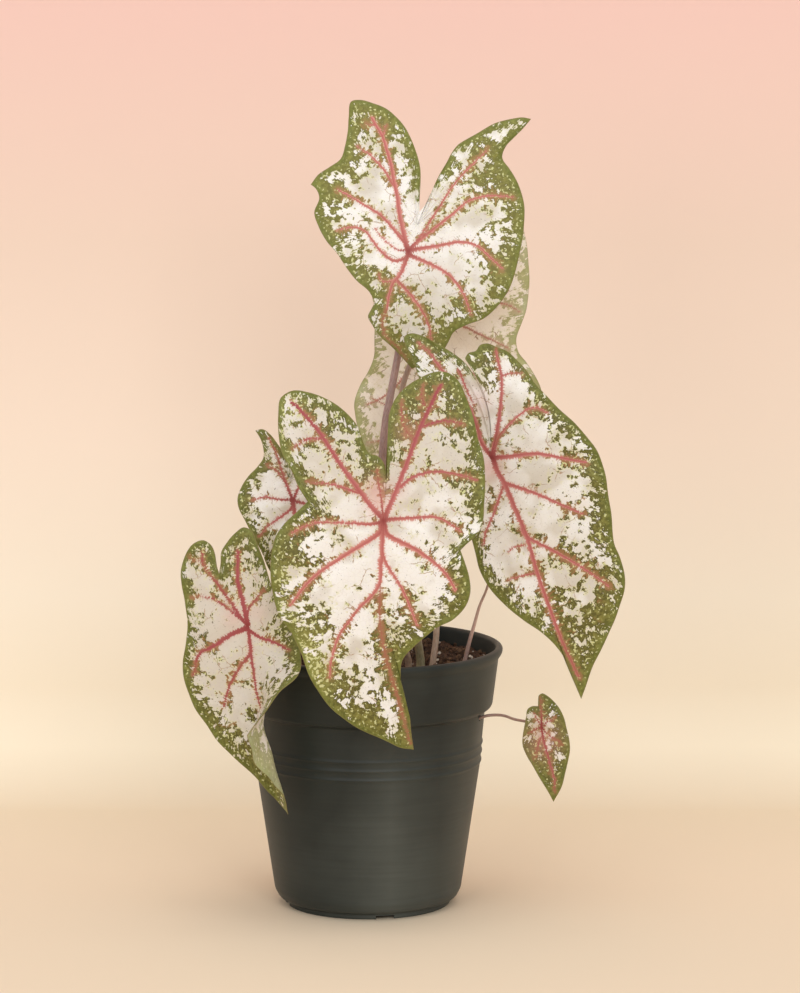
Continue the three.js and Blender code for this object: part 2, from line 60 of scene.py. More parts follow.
# hub: where the petiole meets the blade. All other points of a blade are x, z from its hub.
# pole: the middle that the margin is drawn round. turn: how far the midrib leans, degrees.
# lean, bow and fold: how the blade slants, bends and creases, as depth() says.
# margin: clockwise from the sinus, seen from the front, with 1 at a sharp corner.
# veins: width at the start, width at the end, how brown the vein is, its points.
# lush, spotty and flush: x, z, radius and strength of patches that are greener, more dotted or pinker than the
# rest. The creamier patches have the same columns and are painted shade that turns the white a greyer cream,
# with painted light where the strength is below nought. ruby: how red the veins are, and ripe: how much redder
# a millimetre higher. pale: how pale the mottle is.
# petiole: its radii at the foot, halfway and at the blade, and its path from the ground up.
LEAVES = [
    dict(
        name="top_leaf", hub=(24, -8, 389), pole=(5, 14.5), turn=0, lean=(0, -0.32),
        bow=(0.001, 0.0035, 0.0012), fold=0.1,
        margin=[
            (6.5, 22, 1), (9.5, 25.5), (13.5, 34.5), (18, 43), (22, 49.5), (25.6, 56), (29, 60),
            (33.5, 63), (42.5, 68), (52, 72.5), (61, 75), (67, 75.5), (72, 74.5, 1), (68, 70), (62, 64),
            (57, 59), (55, 53.5), (59, 46.5), (64.5, 37), (67.5, 26.5), (67.5, 14.5), (65.5, 2),
            (63, -9.5), (58.5, -22), (51.5, -32), (43.5, -39), (33.5, -42.5), (26.5, -46.5), (23, -53),
            (19, -59.5), (11.5, -65), (2, -68, 1), (-4, -61.5), (-10, -55), (-17, -48.5), (-21, -42.5),
            (-23.5, -37), (-21.5, -33.5), (-19.5, -29, 1), (-23, -23), (-30, -17), (-36, -9.5),
            (-41.5, -1.5), (-48, 6), (-52.5, 14), (-55, 22), (-52, 30.5), (-54, 35), (-57, 37.5, 1),
            (-53, 43), (-46, 47.5), (-39.5, 52.5), (-37, 59.5), (-35.5, 68), (-35, 76.5), (-33.5, 84.5),
            (-28, 85.5), (-20, 83.5), (-12, 80), (-5, 74), (1, 64.5), (5, 55), (7, 46.5), (7, 37),
            (6.5, 28.5),
        ],
        veins=[
            (3.2, 1.6, 0.15, [(-0.5, 0.5), (-2.5, 9), (-5, 20.5), (-6.5, 31.5), (-8.5, 40), (-10, 48.5),
                (-12.5, 57), (-15, 64.5), (-18.5, 70.5), (-21.5, 75.5)]),
            (1, 0.6, 0.3, [(-15, 64.5), (-13, 71.5)]),
            (1.2, 0.6, 0.3, [(-18.5, 70.5), (-25, 72)]),
            (1.6, 0.8, 0.3, [(-9, 37.5), (-13.5, 45), (-18.5, 50.5), (-23.5, 55.5), (-30, 59)]),
            (2.2, 0.9, 0.2, [(-2, 4.5), (-9.5, 13.5), (-16.5, 20.5), (-25.5, 26), (-34, 31), (-41, 34.5)]),
            (1, 0.5, 0.3, [(-2, 0), (-6, 0.5), (-12, 4.5), (-16.5, 9), (-19.5, 13)]),
            (2, 0.8, 0.25, [(-1, -4), (-8.5, -5.5), (-16.5, 0.5), (-25.5, 11.5), (-33, 13.5),
                (-42, 11.5)]),
            (1.6, 0.7, 0.35, [(1.5, 1.5), (6.5, 7.5), (12.5, 16.5), (18.5, 25.5), (23.5, 33.5), (30, 41.5),
                (39, 50.5), (46, 57)]),
            (2, 0.8, 0.25, [(2, 2.5), (9, 8), (26, 21), (34.5, 28), (46, 31), (61.5, 30.5)]),
            (2.4, 0.9, 0.2, [(2, 0.5), (17, 3), (31.5, 5), (40.5, 2.5), (48, -4), (55, -10.5)]),
            (2.4, 0.9, 0.2, [(1, -2.5), (15, -8.5), (24.5, -14.5), (31.5, -23.5), (36.5, -36.5)]),
            (2.2, 0.9, 0.35, [(-6.5, -17), (-0.5, -23), (5.5, -30.5), (10, -38.5), (12.5, -45.5),
                (13, -52.5)]),
            (1.2, 0.6, 0.3, [(-8.5, -17), (-15.5, -17), (-17.5, -13.5)]),
            (3, 1.2, 0.25, [(0.5, 0.5), (-5, -13.5), (-9, -18), (-11.5, -26), (-12.5, -33.5)]),
            (1.2, 0.5, 0.7, [(-12.5, -33), (-15, -40.5), (-13.5, -48.5), (-6.5, -55.5), (-1, -63)]),
        ],
        lush=[
            (56, 43, 8, 0.19), (-16, 78, 7, 0.19), (-37, 55, 6, 0.19), (-46, 34, 8, 0.22),
            (-26, 68, 6, -0.1), (-42, 19, 7, 0.05), (56, -14, 8, 0.25), (17, -45, 9, 0.19),
            (-29, 43, 6, 0.32), (12, 27, 8, -0.4), (4, 17, 6, -0.9), (7, 22, 5, -0.4), (19, 44, 7, -0.14),
            (42, 42, 8, 0.28), (30, 30, 7, -0.2), (42, 28, 7, 0.19), (54, 30, 7, 0.12),
            (-45, -5, 8, -0.55), (-18, -4, 6, -0.15), (42, -6, 8, 0.27), (-8, -54, 9, 0.15),
            (6, -30, 8, 0.3), (-6, 54, 6, -0.15), (42, -32, 7, -0.15), (54, 14, 8, 0.09),
            (38, 56, 8, -0.05), (24, 8, 10, -0.15), (30, 54, 7, -0.24), (30, 42, 7, -0.24),
            (6, 30, 6, -0.12), (18, 30, 7, -0.24), (-6, 30, 7, -0.45), (6, 42, 6, -0.1),
            (-18, -42, 7, -0.43), (6, -42, 7, -0.15), (-42, 30, 6, 0.26), (66, 6, 6, 0.15),
            (0, 0, 400, -0.01), (42, 66, 7, 0.25), (54, -4, 7, 0.2), (30, -30, 7, 0.12),
            (-9, 20, 7, -0.28), (50, 69, 7, -0.16), (-30, 2, 8, -0.1),
        ],
        creamy=[(0, -40, 25, 0.6), (-15, 65, 20, 0.4), (-19, 7, 18, -0.7), (14, -20, 20, 0.5)],
        ruby=0, pale=0.22,
        petiole=dict(
            radii=(3.4, 2.4, 1.9), skin="mauve",
            path=[
                (-6, -24, 150), (2, -22, 168), (8, -16, 203), (8.5, -4, 262), (10.5, 0, 287),
                (13, 1, 300.5), (17.5, 3, 324), (22, 6, 353),
            ],
        ),
    ),
    dict(
        name="front_leaf", hub=(9.5, -98, 244), pole=(0, -52.5), turn=7, lean=(0, -0.1),
        bow=(0.0014, 0.0011, 0.0013), fold=0.1,
        margin=[
            (1.5, 28, 1), (2, 38), (2.5, 49.5), (3.5, 60), (7.5, 69), (14.5, 76), (22.5, 80.5), (30.5, 83),
            (37, 82.5), (42.5, 78.5), (46.5, 70.5), (50.5, 60), (53.5, 47.5), (57, 35), (58, 22.5),
            (57.5, 10), (56.5, -1.5), (53, -8.5), (48, -13), (44, -17, 1), (46.5, -24), (49, -32.5),
            (49.5, -41.5), (46.5, -50), (40, -56.5), (32, -60.5), (25.5, -65.5), (17.5, -72.5),
            (11, -80.5), (10, -90.5), (12.5, -101), (15, -111.5), (16, -123), (17.5, -134, 1), (11, -133),
            (2.5, -128.5), (-8.5, -124), (-18.5, -118), (-28.5, -110), (-37, -99.5), (-43, -87.5),
            (-47, -76.5), (-52, -65.5), (-58.5, -56), (-62.5, -45), (-64, -31), (-63.5, -18.5),
            (-61, -9.5), (-56, -2), (-49.5, 4), (-43, 10.5, 1), (-47.5, 17.5), (-52, 27.5), (-57, 36.5),
            (-59.5, 47), (-59.5, 59), (-58, 68.5), (-52.5, 72), (-42.5, 71.5), (-30.5, 67), (-20.5, 60),
            (-14, 52), (-11, 43.5), (-8, 38), (-2.5, 36), (1, 31),
        ],
        veins=[
            (3.6, 2.2, 0.25, [(0, 0.5), (-0.5, -11), (-1, -24)]),
            (1.2, 0.9, 0.95, [(-1, -22), (-1.5, -35), (-2, -54), (1, -76), (6.5, -95.5)]),
            (1.3, 0.7, 0.7, [(5, -91), (8, -101), (15.5, -130)]),
            (3, 1.6, 0, [(-1.5, 2.5), (-7.5, 9), (-14.5, 18.5), (-22, 28.5), (-28.5, 38), (-35, 48),
                (-42, 56), (-47.5, 62), (-52.5, 66)]),
            (1.6, 0.8, 0.2, [(-35.5, 45.5), (-43, 45.5), (-51.5, 40)]),
            (1.8, 0.8, 0.2, [(-13.5, 15.5), (-30, 20.5), (-43, 21.5)]),
            (3, 1.6, 0.05, [(1.5, 3), (6.5, 14.5), (15, 36), (21.5, 53), (27, 64.5), (32.5, 75.5)]),
            (1.5, 0.8, 0.3, [(22.5, 53), (34.5, 56), (45.5, 54)]),
            (1.8, 0.9, 0.2, [(10, 19), (16, 24), (28, 27.5), (44, 25.5), (53, 22.5)]),
            (1, 0.6, 0.3, [(17.5, 45.5), (12, 52), (10.5, 59), (10.5, 67.5)]),
            (1, 0.6, 0.3, [(23, 64.5), (22, 70), (22.5, 76)]),
            (1.5, 1, 0.5, [(0, 2), (-1, 12), (-2.5, 21), (-3, 29)]),
            (2, 1, 0.2, [(-1.5, -1), (-7.5, -2), (-16, -1.5), (-27.5, -1), (-39, -1.5), (-46.5, -4.5),
                (-52, -7.5)]),
            (2.4, 1, 0.15, [(1.5, 0.5), (16.5, 1.5), (31.5, 1.5), (44, -6)]),
            (3.2, 1.4, 0, [(-1, -3), (-1.5, -6), (-22.5, -20), (-41, -33.5), (-52.5, -48.5)]),
            (3.2, 1.4, 0.05, [(1, -3), (1.5, -7), (19.5, -17), (34.5, -29), (41, -39.5)]),
            (2.2, 1, 0.15, [(-1, -15.5), (1, -23), (11, -39.5), (19.5, -60)]),
            (2.4, 1, 0.25, [(-1.5, -22.5), (-2, -35.5), (-6.5, -42.5), (-13.5, -49.5), (-19, -57),
                (-25, -65.5), (-28, -74.5), (-30, -83), (-30.5, -90.5)]),
        ],
        lush=[
            (-53, -69, 8, 0.1), (-36, -98, 9, 0.24), (-20, -100, 9, 0.2), (-12, -116, 8, 0.28),
            (6, -74, 10, 0.14), (-7, -64, 7, 0.4), (-30, -52, 8, 0.34), (30, -62, 8, 0.1),
            (-54, -12, 8, 0.17), (-42, -22, 7, 0.27), (42, -40, 7, 0.24), (42, -18, 6, -0.15),
            (30, 66, 7, -0.1), (-54, 68, 6, -0.35), (-42, 68, 7, -0.07), (-28, 55, 7, 0.32),
            (-10, 32, 6, 0.24), (8, 24, 6, -0.7), (7, 56, 8, 0.21), (42, 64, 9, 0.21), (44, 36, 8, -0.2),
            (42, 18, 6, 0.14), (54, 18, 7, 0.1), (-54, 28, 7, 0.04), (-38, 18, 7, -0.15),
            (-18, -88, 7, 0.42), (-16, -76, 7, 0.1), (17, -118, 8, 0.35), (5, -106, 6, -0.15),
            (-54, -54, 7, -0.07), (-41, -54, 6, 0.22), (-1, 21, 3, 0.39), (0, 14, 2.6, 0.32),
            (0, 8, 2, 0.21), (22, 50, 9, -0.2), (-30, 64, 7, -0.16), (-54, 54, 7, -0.28),
            (-18, 54, 7, -0.16), (-28, 42, 8, -0.15), (-17, 42, 7, -0.15), (6, 42, 7, -0.2),
            (-42, 30, 7, -0.3), (-18, 30, 7, -0.2), (7, 30, 6, -0.24), (-6, 18, 6, -0.22),
            (54, 30, 6, 0.12), (54, -6, 7, -0.48), (-42, -28, 7, 0.06), (-42, -66, 7, 0.3),
            (-30, -66, 7, 0.16), (-6, -54, 7, 0.15), (6, -54, 7, 0.2), (-6, -78, 7, 0.08),
            (-41, -88, 7, 0.39), (19, -78, 7, 0.56), (-6, -114, 7, 0.31), (17, -126, 7, 0.89),
            (6, -124, 6, -0.15), (30, 78, 6, 0.15), (18, 67, 8, 0.25), (-54, -18, 8, 0.2),
            (-42, -40, 7, 0.12), (42, -8, 6, 0.1), (-8, 56, 6, -0.1), (-30, 12, 5, 0.08),
            (7, 18, 6, -0.15), (30, -6, 7, -0.14), (30, -18, 7, -0.1), (30, -30, 7, -0.4),
            (-42, -6, 7, -0.12), (-18, -53, 7, -0.6), (7, -66, 6, -0.12), (-42, 54, 7, -0.12),
            (-54, 42, 7, -0.1), (6, -114, 6, -0.2), (24, 32, 8, -0.08), (-62, -50, 7, -0.23),
            (46, -4, 8, -0.22), (34, -10, 7, -0.12), (-34, -69, 6, -0.12), (15, 48, 6, 0.48),
            (-62, 39, 7, -0.2), (45, 68, 7, 0.2), (-13, -109, 7, 0.2), (5, -89, 6, -0.15),
            (35, -50, 7, 0.13), (-43, -12, 7, 0.14), (25, 58, 6, 0.22),
        ],
        creamy=[
            (-34, 46, 30, 0.9), (28, 50, 30, 0.9), (0, 24, 18, 0.8), (5, -75, 18, 0.4),
            (-20, -45, 22, -0.7), (20, -34, 18, -0.7),
        ],
        ruby=0.15, ripe=0.011,
        spotty=[
            (-44, -76, 14, 0.9), (-60, -54, 9, 0.6), (-38, -92, 9, 0.5), (-54, 62, 10, 0.6),
            (-58, 34, 9, 0.6), (-54, -32, 8, 0.6),
        ],
        flush=[(-3, 8, 8, 0.45), (-4, 19, 7, 0.45), (9, 17, 6, 0.25), (14, 50, 7, 0.3)],
        petiole=dict(
            radii=(2.9, 2.1, 1.7), skin="green_sheath",
            path=[
                (31, -34, 149.5), (30, -40, 161), (26.5, -50, 181.5), (21, -66, 207.5),
            ],
        ),
    ),
    dict(
        name="right_leaf", hub=(72.5, -55, 274), pole=(-1.5, 2), sway=(0.0048, 4e-05), lap=(0.8, -0.3),
        turn=20, lean=(0.12, -0.08), bow=(0.001, 0.0008, 0.001), fold=0.1,
        margin=[
            (-1.2, 13.5, 1), (-2.5, 25.5), (-5, 35.5), (-8.9, 44.5), (-13, 51.5), (-16, 56), (-14, 59.5),
            (-9.5, 61), (-7.5, 64), (-3.5, 65), (2, 63), (8.5, 60.5), (14, 55.5), (19.5, 49.5), (25, 41.5),
            (32, 34), (39.5, 26.5), (47.5, 19), (55, 10.5), (61, 2), (64.5, -8), (66.5, -19.5),
            (68.5, -31.5), (69.5, -43.5, 1), (70.5, -51), (74, -59), (76.5, -67.5), (76.5, -78),
            (73, -90.5), (68, -103), (62, -115.5), (57, -127.5), (52, -142.5, 1), (48, -132),
            (43.5, -120.5), (37, -110.5), (28.5, -102), (18, -94.5), (7.5, -85.5), (-1.5, -75.5),
            (-7.5, -64.5), (-10, -54.5), (-13.5, -42), (-18.5, -29.5), (-24.5, -18), (-28.5, -5.5),
            (-32.5, 9), (-36, 23), (-39.5, 35.5), (-43, 47), (-46.5, 57), (-50.5, 64.5), (-51, 69),
            (-47.5, 71), (-41.5, 70), (-35, 66.5), (-27.5, 62.5), (-20.5, 58), (-14.4, 52.4), (-9.9, 45),
            (-5.8, 36), (-3, 26),
        ],
        veins=[
            (2.8, 1.2, 0.1, [(-0.5, 0), (2.5, 15), (4.5, 29), (5, 46), (1.5, 61.5)]),
            (1.3, 0.7, 0.3, [(5, 46.5), (10.5, 48), (17, 48)]),
            (2.6, 1.2, 0.15, [(-1, 1), (-6, 8), (-9, 18), (-15.5, 33), (-21.5, 41.5), (-29.5, 50.5),
                (-37, 60.5), (-43, 65.5)]),
            (1.4, 0.7, 0.3, [(-19.5, 50), (-15.5, 40), (-11, 30.5)]),
            (2.8, 1.2, 0.1, [(0.5, 0), (8.5, 0.5), (25.5, 2), (44, -1.5), (54, -3.5)]),
            (1.6, 0.8, 0.2, [(0.5, 1.5), (3, 11), (11, 20.5), (23, 28.5), (31.5, 25.5)]),
            (3, 1.6, 0.1, [(0.5, -1), (2, -6.5), (6.5, -14.5), (12, -27.5), (19, -44), (26, -67.5),
                (33, -87.5), (40.5, -107.5), (50.5, -129.5)]),
            (2.4, 1, 0.15, [(6.5, -14.5), (21.5, -19.5), (37.5, -26.5), (52, -33)]),
            (2.2, 1, 0.15, [(17, -41), (19, -45), (33, -53), (50, -63), (67.5, -75.5)]),
            (1.6, 0.8, 0.25, [(6.5, -14.5), (5.5, -18), (0.5, -32), (-4.5, -43.5), (-5, -49.5)]),
            (1.2, 0.6, 0.3, [(19, -50.5), (11.5, -52), (9, -55)]),
            (1.4, 0.7, 0.3, [(26, -67), (19, -68), (9, -70.5)]),
        ],
        lush=[
            (63, -20, 8, 0.19), (66, -38, 9, 0.4), (46, -104, 12, 0.28), (66, -92, 8, 0.28),
            (30, -66, 8, 0.35), (50, -126, 12, 0.19), (42, -80, 8, 0.25), (-2, 16, 6, -0.75),
            (-3, 26, 5, -0.6), (-7, 54, 7, 0.22), (-32, 52, 9, -0.3), (14, 50, 9, -0.2),
            (8, 30, 10, -0.45), (42, 14, 8, 0.19), (30, 6, 7, -0.15), (54, -14, 7, 0.11),
            (-6, -20, 7, 0.15), (4, -50, 8, -0.46), (30, -54, 6, 0.12), (42, -54, 7, 0.37),
            (54, -56, 7, 0.09), (66, -78, 8, 0.22), (54, -90, 8, 0.25), (54, -76, 6, 0.12),
            (30, -90, 7, -0.06), (54, -103, 7, 0.19), (44, -114, 7, 0.49), (-42, 54, 7, -0.15),
            (-18, 54, 6, -0.35), (6, 54, 7, -0.48), (18, 54, 7, 0.27), (-17, 42, 6, -0.45),
            (6, 42, 7, -0.2), (18, 42, 7, -0.35), (-6, -30, 7, -0.32), (30, -98, 8, -0.3),
            (54, 6, 7, -0.1), (56, -116, 7, -0.15), (0, 0, 400, -0.02), (-8, 34, 7, -0.55),
            (-8, 43, 6, -0.35), (48, -52, 6, 0.08), (6, 10, 8, -0.18), (-6, -42, 7, -0.14),
            (66, -30, 8, 0.15), (54, -126, 7, 0.25), (45, 10, 7, -0.22), (6, -58, 7, -0.16),
            (6, -68, 7, -0.14), (16, -68, 7, -0.16), (45, -29, 7, 0.2), (-13, 50, 6, -0.2),
            (-4, 50, 6, 0.2), (35, -88, 7, 0.17), (55, -29, 7, -0.16),
        ],
        creamy=[(18, -10, 30, 0.4), (45, -60, 25, 0.5)],
        flush=[(-2, -5, 9, 0.5), (-9, 32, 9, 0.3)],
        ruby=0.25,
        petiole=dict(
            radii=(1.8, 0.75, 0.55), skin="rosy",
            path=[
                (57, -26, 149.5), (60, -30, 163), (62.5, -32, 172.5), (65.5, -35, 184), (70, -38, 196),
                (74, -42, 218), (76.5, -46, 242),
            ],
        ),
    ),
    dict(
        name="left_leaf", hub=(-43, -45, 248), pole=(-1, 12), turn=-2, lean=(-0.25, -0.1),
        bow=(0.0015, 0.0012, 0.0015), fold=0.1,
        margin=[
            (-0.5, 17, 1), (3, 26), (8.5, 34), (15, 39.5), (22.5, 42.5, 1), (24, 33), (24, 23), (27, 13.5),
            (30.5, 3.5), (31, -8), (28, -21), (23, -34.5), (17, -47.5), (12, -59.5), (6.5, -71.5, 1),
            (0.5, -62.5), (-5.5, -54), (-11, -45.5), (-15, -38.5), (-18.5, -30), (-22.5, -23),
            (-26.5, -16), (-29, -11), (-31, -6.5), (-32, 0), (-30, 6.5), (-26, 12.5), (-20.5, 18.5),
            (-17, 24), (-17, 29.5), (-18.5, 34), (-22, 39, 1), (-18, 40), (-13, 37), (-8.5, 31.5),
            (-4, 24.5),
        ],
        veins=[
            (1.8, 0.7, 0.2, [(0, 0.5), (-5, 12.5), (-9, 25), (-14.5, 35.5)]),
            (1.1, 0.6, 0.3, [(-4.5, 10), (-9.5, 16.5), (-15.5, 19.5)]),
            (1.5, 0.7, 0.25, [(-0.5, 0), (-8, 0), (-16.5, 1), (-23.5, -1)]),
            (1.7, 0.8, 0.25, [(0, 0), (-0.5, -4.5), (-7.5, -10.5), (-15.5, -16.5), (-19.5, -22)]),
            (1.7, 0.8, 0.3, [(0.5, 0), (3, 6), (8, 17.5), (13.5, 32)]),
            (2.6, 1, 0.2, [(0, 0), (2.5, -17), (5, -37.5), (6, -58), (6.5, -68)]),
            (1.8, 0.8, 0.2, [(0.5, -0.5), (10, -2.5), (22, -6), (27.5, -9.5)]),
        ],
        lush=[
            (-18, 28, 9, -0.15), (-22, 2, 9, -0.2), (-6, -4, 12, -0.25), (6, 8, 10, -0.2),
            (-18, -18, 9, -0.15), (10, -6, 7, 0.1), (22, 20, 8, 0.21), (0, 0, 400, -0.06),
            (-8, 20, 8, -0.35), (-13, 31, 7, -0.25), (3, 14, 8, -0.3), (-22, -14, 8, -0.12),
        ],
        ruby=0.4,
        petiole=dict(
            radii=(2.2, 1.9, 1.5), skin="tan",
            path=[
                (24, -25, 149.5), (18, -30, 164), (4.5, -36, 194), (-15.5, -39, 223.5), (-31, -38, 240),
            ],
        ),
    ),
    dict(
        name="curled_leaf", hub=(-68.5, -68, 178.5), pole=(-8, -44.5), turn=12, lean=(-0.28, -0.05),
        bow=(0.0013, 0.001, 0.0012), fold=0.1,
        curl=dict(at=(1.5, -51.5), turn=13.8, start=-32, end=7, most=126, wide=16.5, narrow=15.5),
        margin=[
            (-16.5, 29, 1), (-15.5, 35.5), (-15.5, 41.5), (-12, 47.5), (-7, 53), (-2, 56.5), (2, 55),
            (5.5, 48), (8.5, 39.5), (12, 30), (16, 18.5), (21, 6.5), (26.5, -4.5), (31, -14.5),
            (34.5, -23.5), (31, -31.5), (31, -40), (32.5, -49.5), (34.5, -58.5), (36, -66), (34.5, -72.5),
            (32.5, -79), (29.5, -88), (26.5, -96), (25.5, -103), (24.5, -111.5, 1), (20, -109.5),
            (14, -102.5), (6.5, -94), (-2, -85.5), (-11, -77.5), (-19.5, -68), (-26.5, -58.5), (-33, -47),
            (-37, -36), (-38.5, -24.5), (-36, -12.5), (-35.5, -1), (-36.5, 11), (-38.5, 21.5),
            (-38.5, 32.5), (-35.5, 41), (-31, 46), (-25.5, 48), (-21.5, 45.5), (-19, 40), (-18, 33.5),
        ],
        veins=[
            (2.2, 1, 0.38, [(0, 0), (-4.5, 5), (-9, 11.5), (-16, 21.5), (-23, 30), (-26, 35.5),
                (-26, 41)]),
            (1, 0.6, 0.58, [(-26, 35), (-34, 37.5)]),
            (1.8, 0.8, 0.43, [(-2, 2), (-11.5, 9), (-20, 14.5), (-27, 15.5), (-33, 14.5)]),
            (3, 1.4, 0.28, [(0, 0.5), (-1, 6), (-2.5, 12), (-5.5, 25), (-5.5, 43)]),
            (1.6, 0.8, 0.43, [(0, 2), (0.5, 9.5), (4.5, 15), (9.5, 21)]),
            (3, 1.2, 0.38, [(-1, -2), (-9, -5.5), (-19, -12.5), (-28.5, -18.5), (-32, -31)]),
            (2.1, 1, 0.33, [(1, -3), (6.5, -6.5), (15, -9), (24, -13.5)]),
            (2.2, 0.9, 0.43, [(0, -0.5), (1, -8.5), (1.5, -15.5), (3, -26.5), (5.5, -38.5), (8, -48)]),
            (2.2, 1, 0.48, [(1, -9.5), (1.5, -16), (-4.5, -24.5), (-10.5, -35), (-14.5, -49)]),
        ],
        lush=[
            (-28, 28, 9, -0.23), (-28, 14, 8, -0.22), (14, 22, 9, -0.2), (30, -14, 8, 0.14),
            (-32, -6, 8, 0.05), (-6, -30, 7, 0.19), (8, -42, 7, 0.14), (-30, -46, 9, 0.19),
            (-17, -56, 8, 0.22), (-6, -66, 8, 0.25), (2, -78, 9, 0.22), (6, -56, 6, 0.17),
            (30, -92, 14, 0.19), (31, -60, 8, 0.17), (-36, 24, 6, 0.11), (-2, -54, 6, 0.08),
            (0, 0, 400, -0.08), (6, 30, 7, -0.2), (-30, 4, 8, -0.2), (-30, -20, 7, -0.12),
            (-42, 30, 6, 0.1), (24, -85, 16, 0.5), (14, 12, 7, -0.1), (22, -80, 12, 0.6),
            (10, 40, 8, -0.1), (20, -56, 8, 0.25), (-20, -13, 5, 0.35), (-10, -72, 7, 0.2),
        ],
        creamy=[(0, 0, 90, 1.1)],
        flush=[(-8, 5, 7, 0.35), (6, 8, 6, 0.2)],
        ruby=0.8,
        petiole=dict(
            radii=(2, 1.7, 1.4), skin="tan",
            path=[
                (6, -44, 149.5), (1, -50, 169), (-12, -55, 183), (-30, -57, 190), (-50, -58, 188),
            ],
        ),
    ),
    dict(
        name="back_leaf", hub=(43, 30, 345.5), pole=(0, -7), turn=0, lean=(0, 0.12),
        bow=(0.0008, 0.001, 0.001), fold=-0.08, underside=True,
        margin=[
            (0, 21, 1), (3.5, 28.5), (9.5, 40.5), (17.5, 52.5), (27, 61), (37, 64.5), (45.5, 60.5),
            (50, 48.5), (52, 33), (52.5, 19), (51, 5.5), (47.5, -5), (45, -13.5), (46.5, -21), (51, -27),
            (56.5, -35.5), (60.5, -45.5), (59, -56.5), (53, -70.5), (42, -84.5), (29, -99), (16, -113),
            (4.5, -125.5), (-4.5, -138.5, 1), (-14.5, -130), (-23.5, -119.5), (-31.5, -108), (-38, -96.5),
            (-44, -84.5), (-48, -72), (-50.5, -61), (-51, -51.5), (-47.5, -41), (-42.5, -32), (-39.5, -24),
            (-39, -14), (-39, -4.5), (-39, 5.5), (-41.5, 17), (-45, 28.5), (-46.5, 40.5), (-44.5, 51.5),
            (-36.5, 57.5), (-28.5, 54.5), (-20, 46.5), (-12, 37), (-5.5, 28.5),
        ],
        veins=[
            (2.8, 1.2, 0.6, [(0, 0), (-5, 11), (-12, 22.5), (-23.5, 33.5), (-34.5, 46.5)]),
            (2.8, 1.2, 0.6, [(0, 0), (7, 14), (17.5, 31.5), (29.5, 46.5), (37, 55)]),
            (2, 1, 0.6, [(0.5, -0.5), (9, -2.5), (15.5, -5.5), (23.5, -10), (32.5, -14), (40.5, -18.5)]),
            (2, 1, 0.6, [(0.5, 0), (17.5, 6), (35.5, 9), (41.5, 7), (47, 3.5)]),
            (2.4, 1, 0.6, [(-1, -7), (-15, -27), (-29, -44), (-38, -50.5), (-44, -53)]),
            (2, 0.9, 0.6, [(-1.5, -19.5), (-14.5, -45), (-29, -55), (-34, -52), (-40.5, -49)]),
            (1.8, 0.9, 0.6, [(-2.5, -37.5), (-16.5, -62.5), (-31, -74), (-35.5, -75), (-43, -76.5)]),
            (3.2, 1.4, 0.6, [(0, 0), (-1, -25.5), (-2, -62.5), (-3.5, -100), (-4.5, -129)]),
            (2, 0.9, 0.6, [(-0.5, -19.5), (18, -33), (39, -41), (53.5, -45.5)]),
            (2, 0.9, 0.6, [(-1.5, -44), (15, -59.5), (33, -70), (43.5, -75)]),
        ],
        lush=[(0, -20, 60, -0.15), (10, -100, 40, -0.1), (0, 0, 400, -0.1)],
        petiole=dict(
            radii=(1.9, 1.6, 1.7), skin="tan",
            path=[
                (38.5, -22, 149.5), (40.5, -19, 166), (39, -13, 190), (34, -5, 224), (25.5, 3, 258.5),
                (20.5, 8, 284.5), (19.5, 10, 299.5), (22.5, 12.5, 313), (30, 16, 329),
            ],
        ),
    ),
    dict(
        name="small_leaf", hub=(103, -12, 107.5), pole=(-0.5, 4), turn=9, lean=(0.1, -0.05),
        bow=(0.003, 0.001, 0.002), fold=0.1,
        margin=[
            (-2.5, 12.5, 1), (-2.5, 16), (-2, 19), (0, 20), (3, 18.5), (7.5, 14.5), (10.5, 10.5), (13, 5),
            (14.5, -1), (16, -7.5), (16.5, -13.5), (15.5, -20.5), (13.5, -28.5), (11.5, -36), (7, -45, 1),
            (3.5, -38.5), (-1, -31), (-5.5, -23), (-9.5, -16), (-11.5, -10.5), (-11.5, -4.5), (-10.5, 1.5),
            (-9.5, 6.5), (-8.5, 11), (-6, 12.5),
        ],
        veins=[
            (1.4, 0.7, 0.2, [(-0.5, 0), (-0.5, 7), (-1, 13), (-1, 17.5)]),
            (0.8, 0.4, 0.3, [(-1, 1), (-3.5, 5.5), (-5, 8.5)]),
            (0.9, 0.4, 0.3, [(0.5, 0.5), (2.5, 3), (5.5, 4), (7.5, 6)]),
            (0.9, 0.4, 0.3, [(-1, 0), (-4.5, -1.5), (-8, -3.5)]),
            (0.9, 0.4, 0.3, [(0.5, -0.5), (1.5, -2.5), (5, -5.5), (9, -8), (11.5, -9.5)]),
            (1.4, 0.7, 0.2, [(-0.5, 0), (0.5, -6), (2.5, -13.5), (5, -23), (7.5, -32), (7.5, -39)]),
            (0.8, 0.4, 0.3, [(0.5, -5), (-1.5, -7.5), (-3, -13.5), (-4, -18)]),
        ],
        lush=[(10, 0, 5, 0.4), (8, -25, 7, 0.4), (0, 0, 60, -0.12), (4, -8, 6, 0.2), (3, -16, 6, 0.2)],
        flush=[(0, -8, 12, 0.35)],
        ruby=0.5,
        petiole=dict(
            radii=(1, 0.85, 0.8), foot=(50, -14.5, 107), standoff=4, skin="wiry",
            path=[
                (64, -19.7, 113.8), (70.5, -21.5, 116.3), (79, -19, 116), (87, -11, 112),
                (95, -6.5, 109.5),
            ],
        ),
    ),
]

# how a blade lies and how it is drawn
FOLD_SOFTNESS = 6
FOLD_REACH = 60
LAP_SPREAD = 0.45
LAP_RISE = 30
NUDGE = 0.05
MIN_STEP = 0.0004
LEAST_RINGS = 12
EDGE_RING = 0.25
VEIN_STEP = 1.5

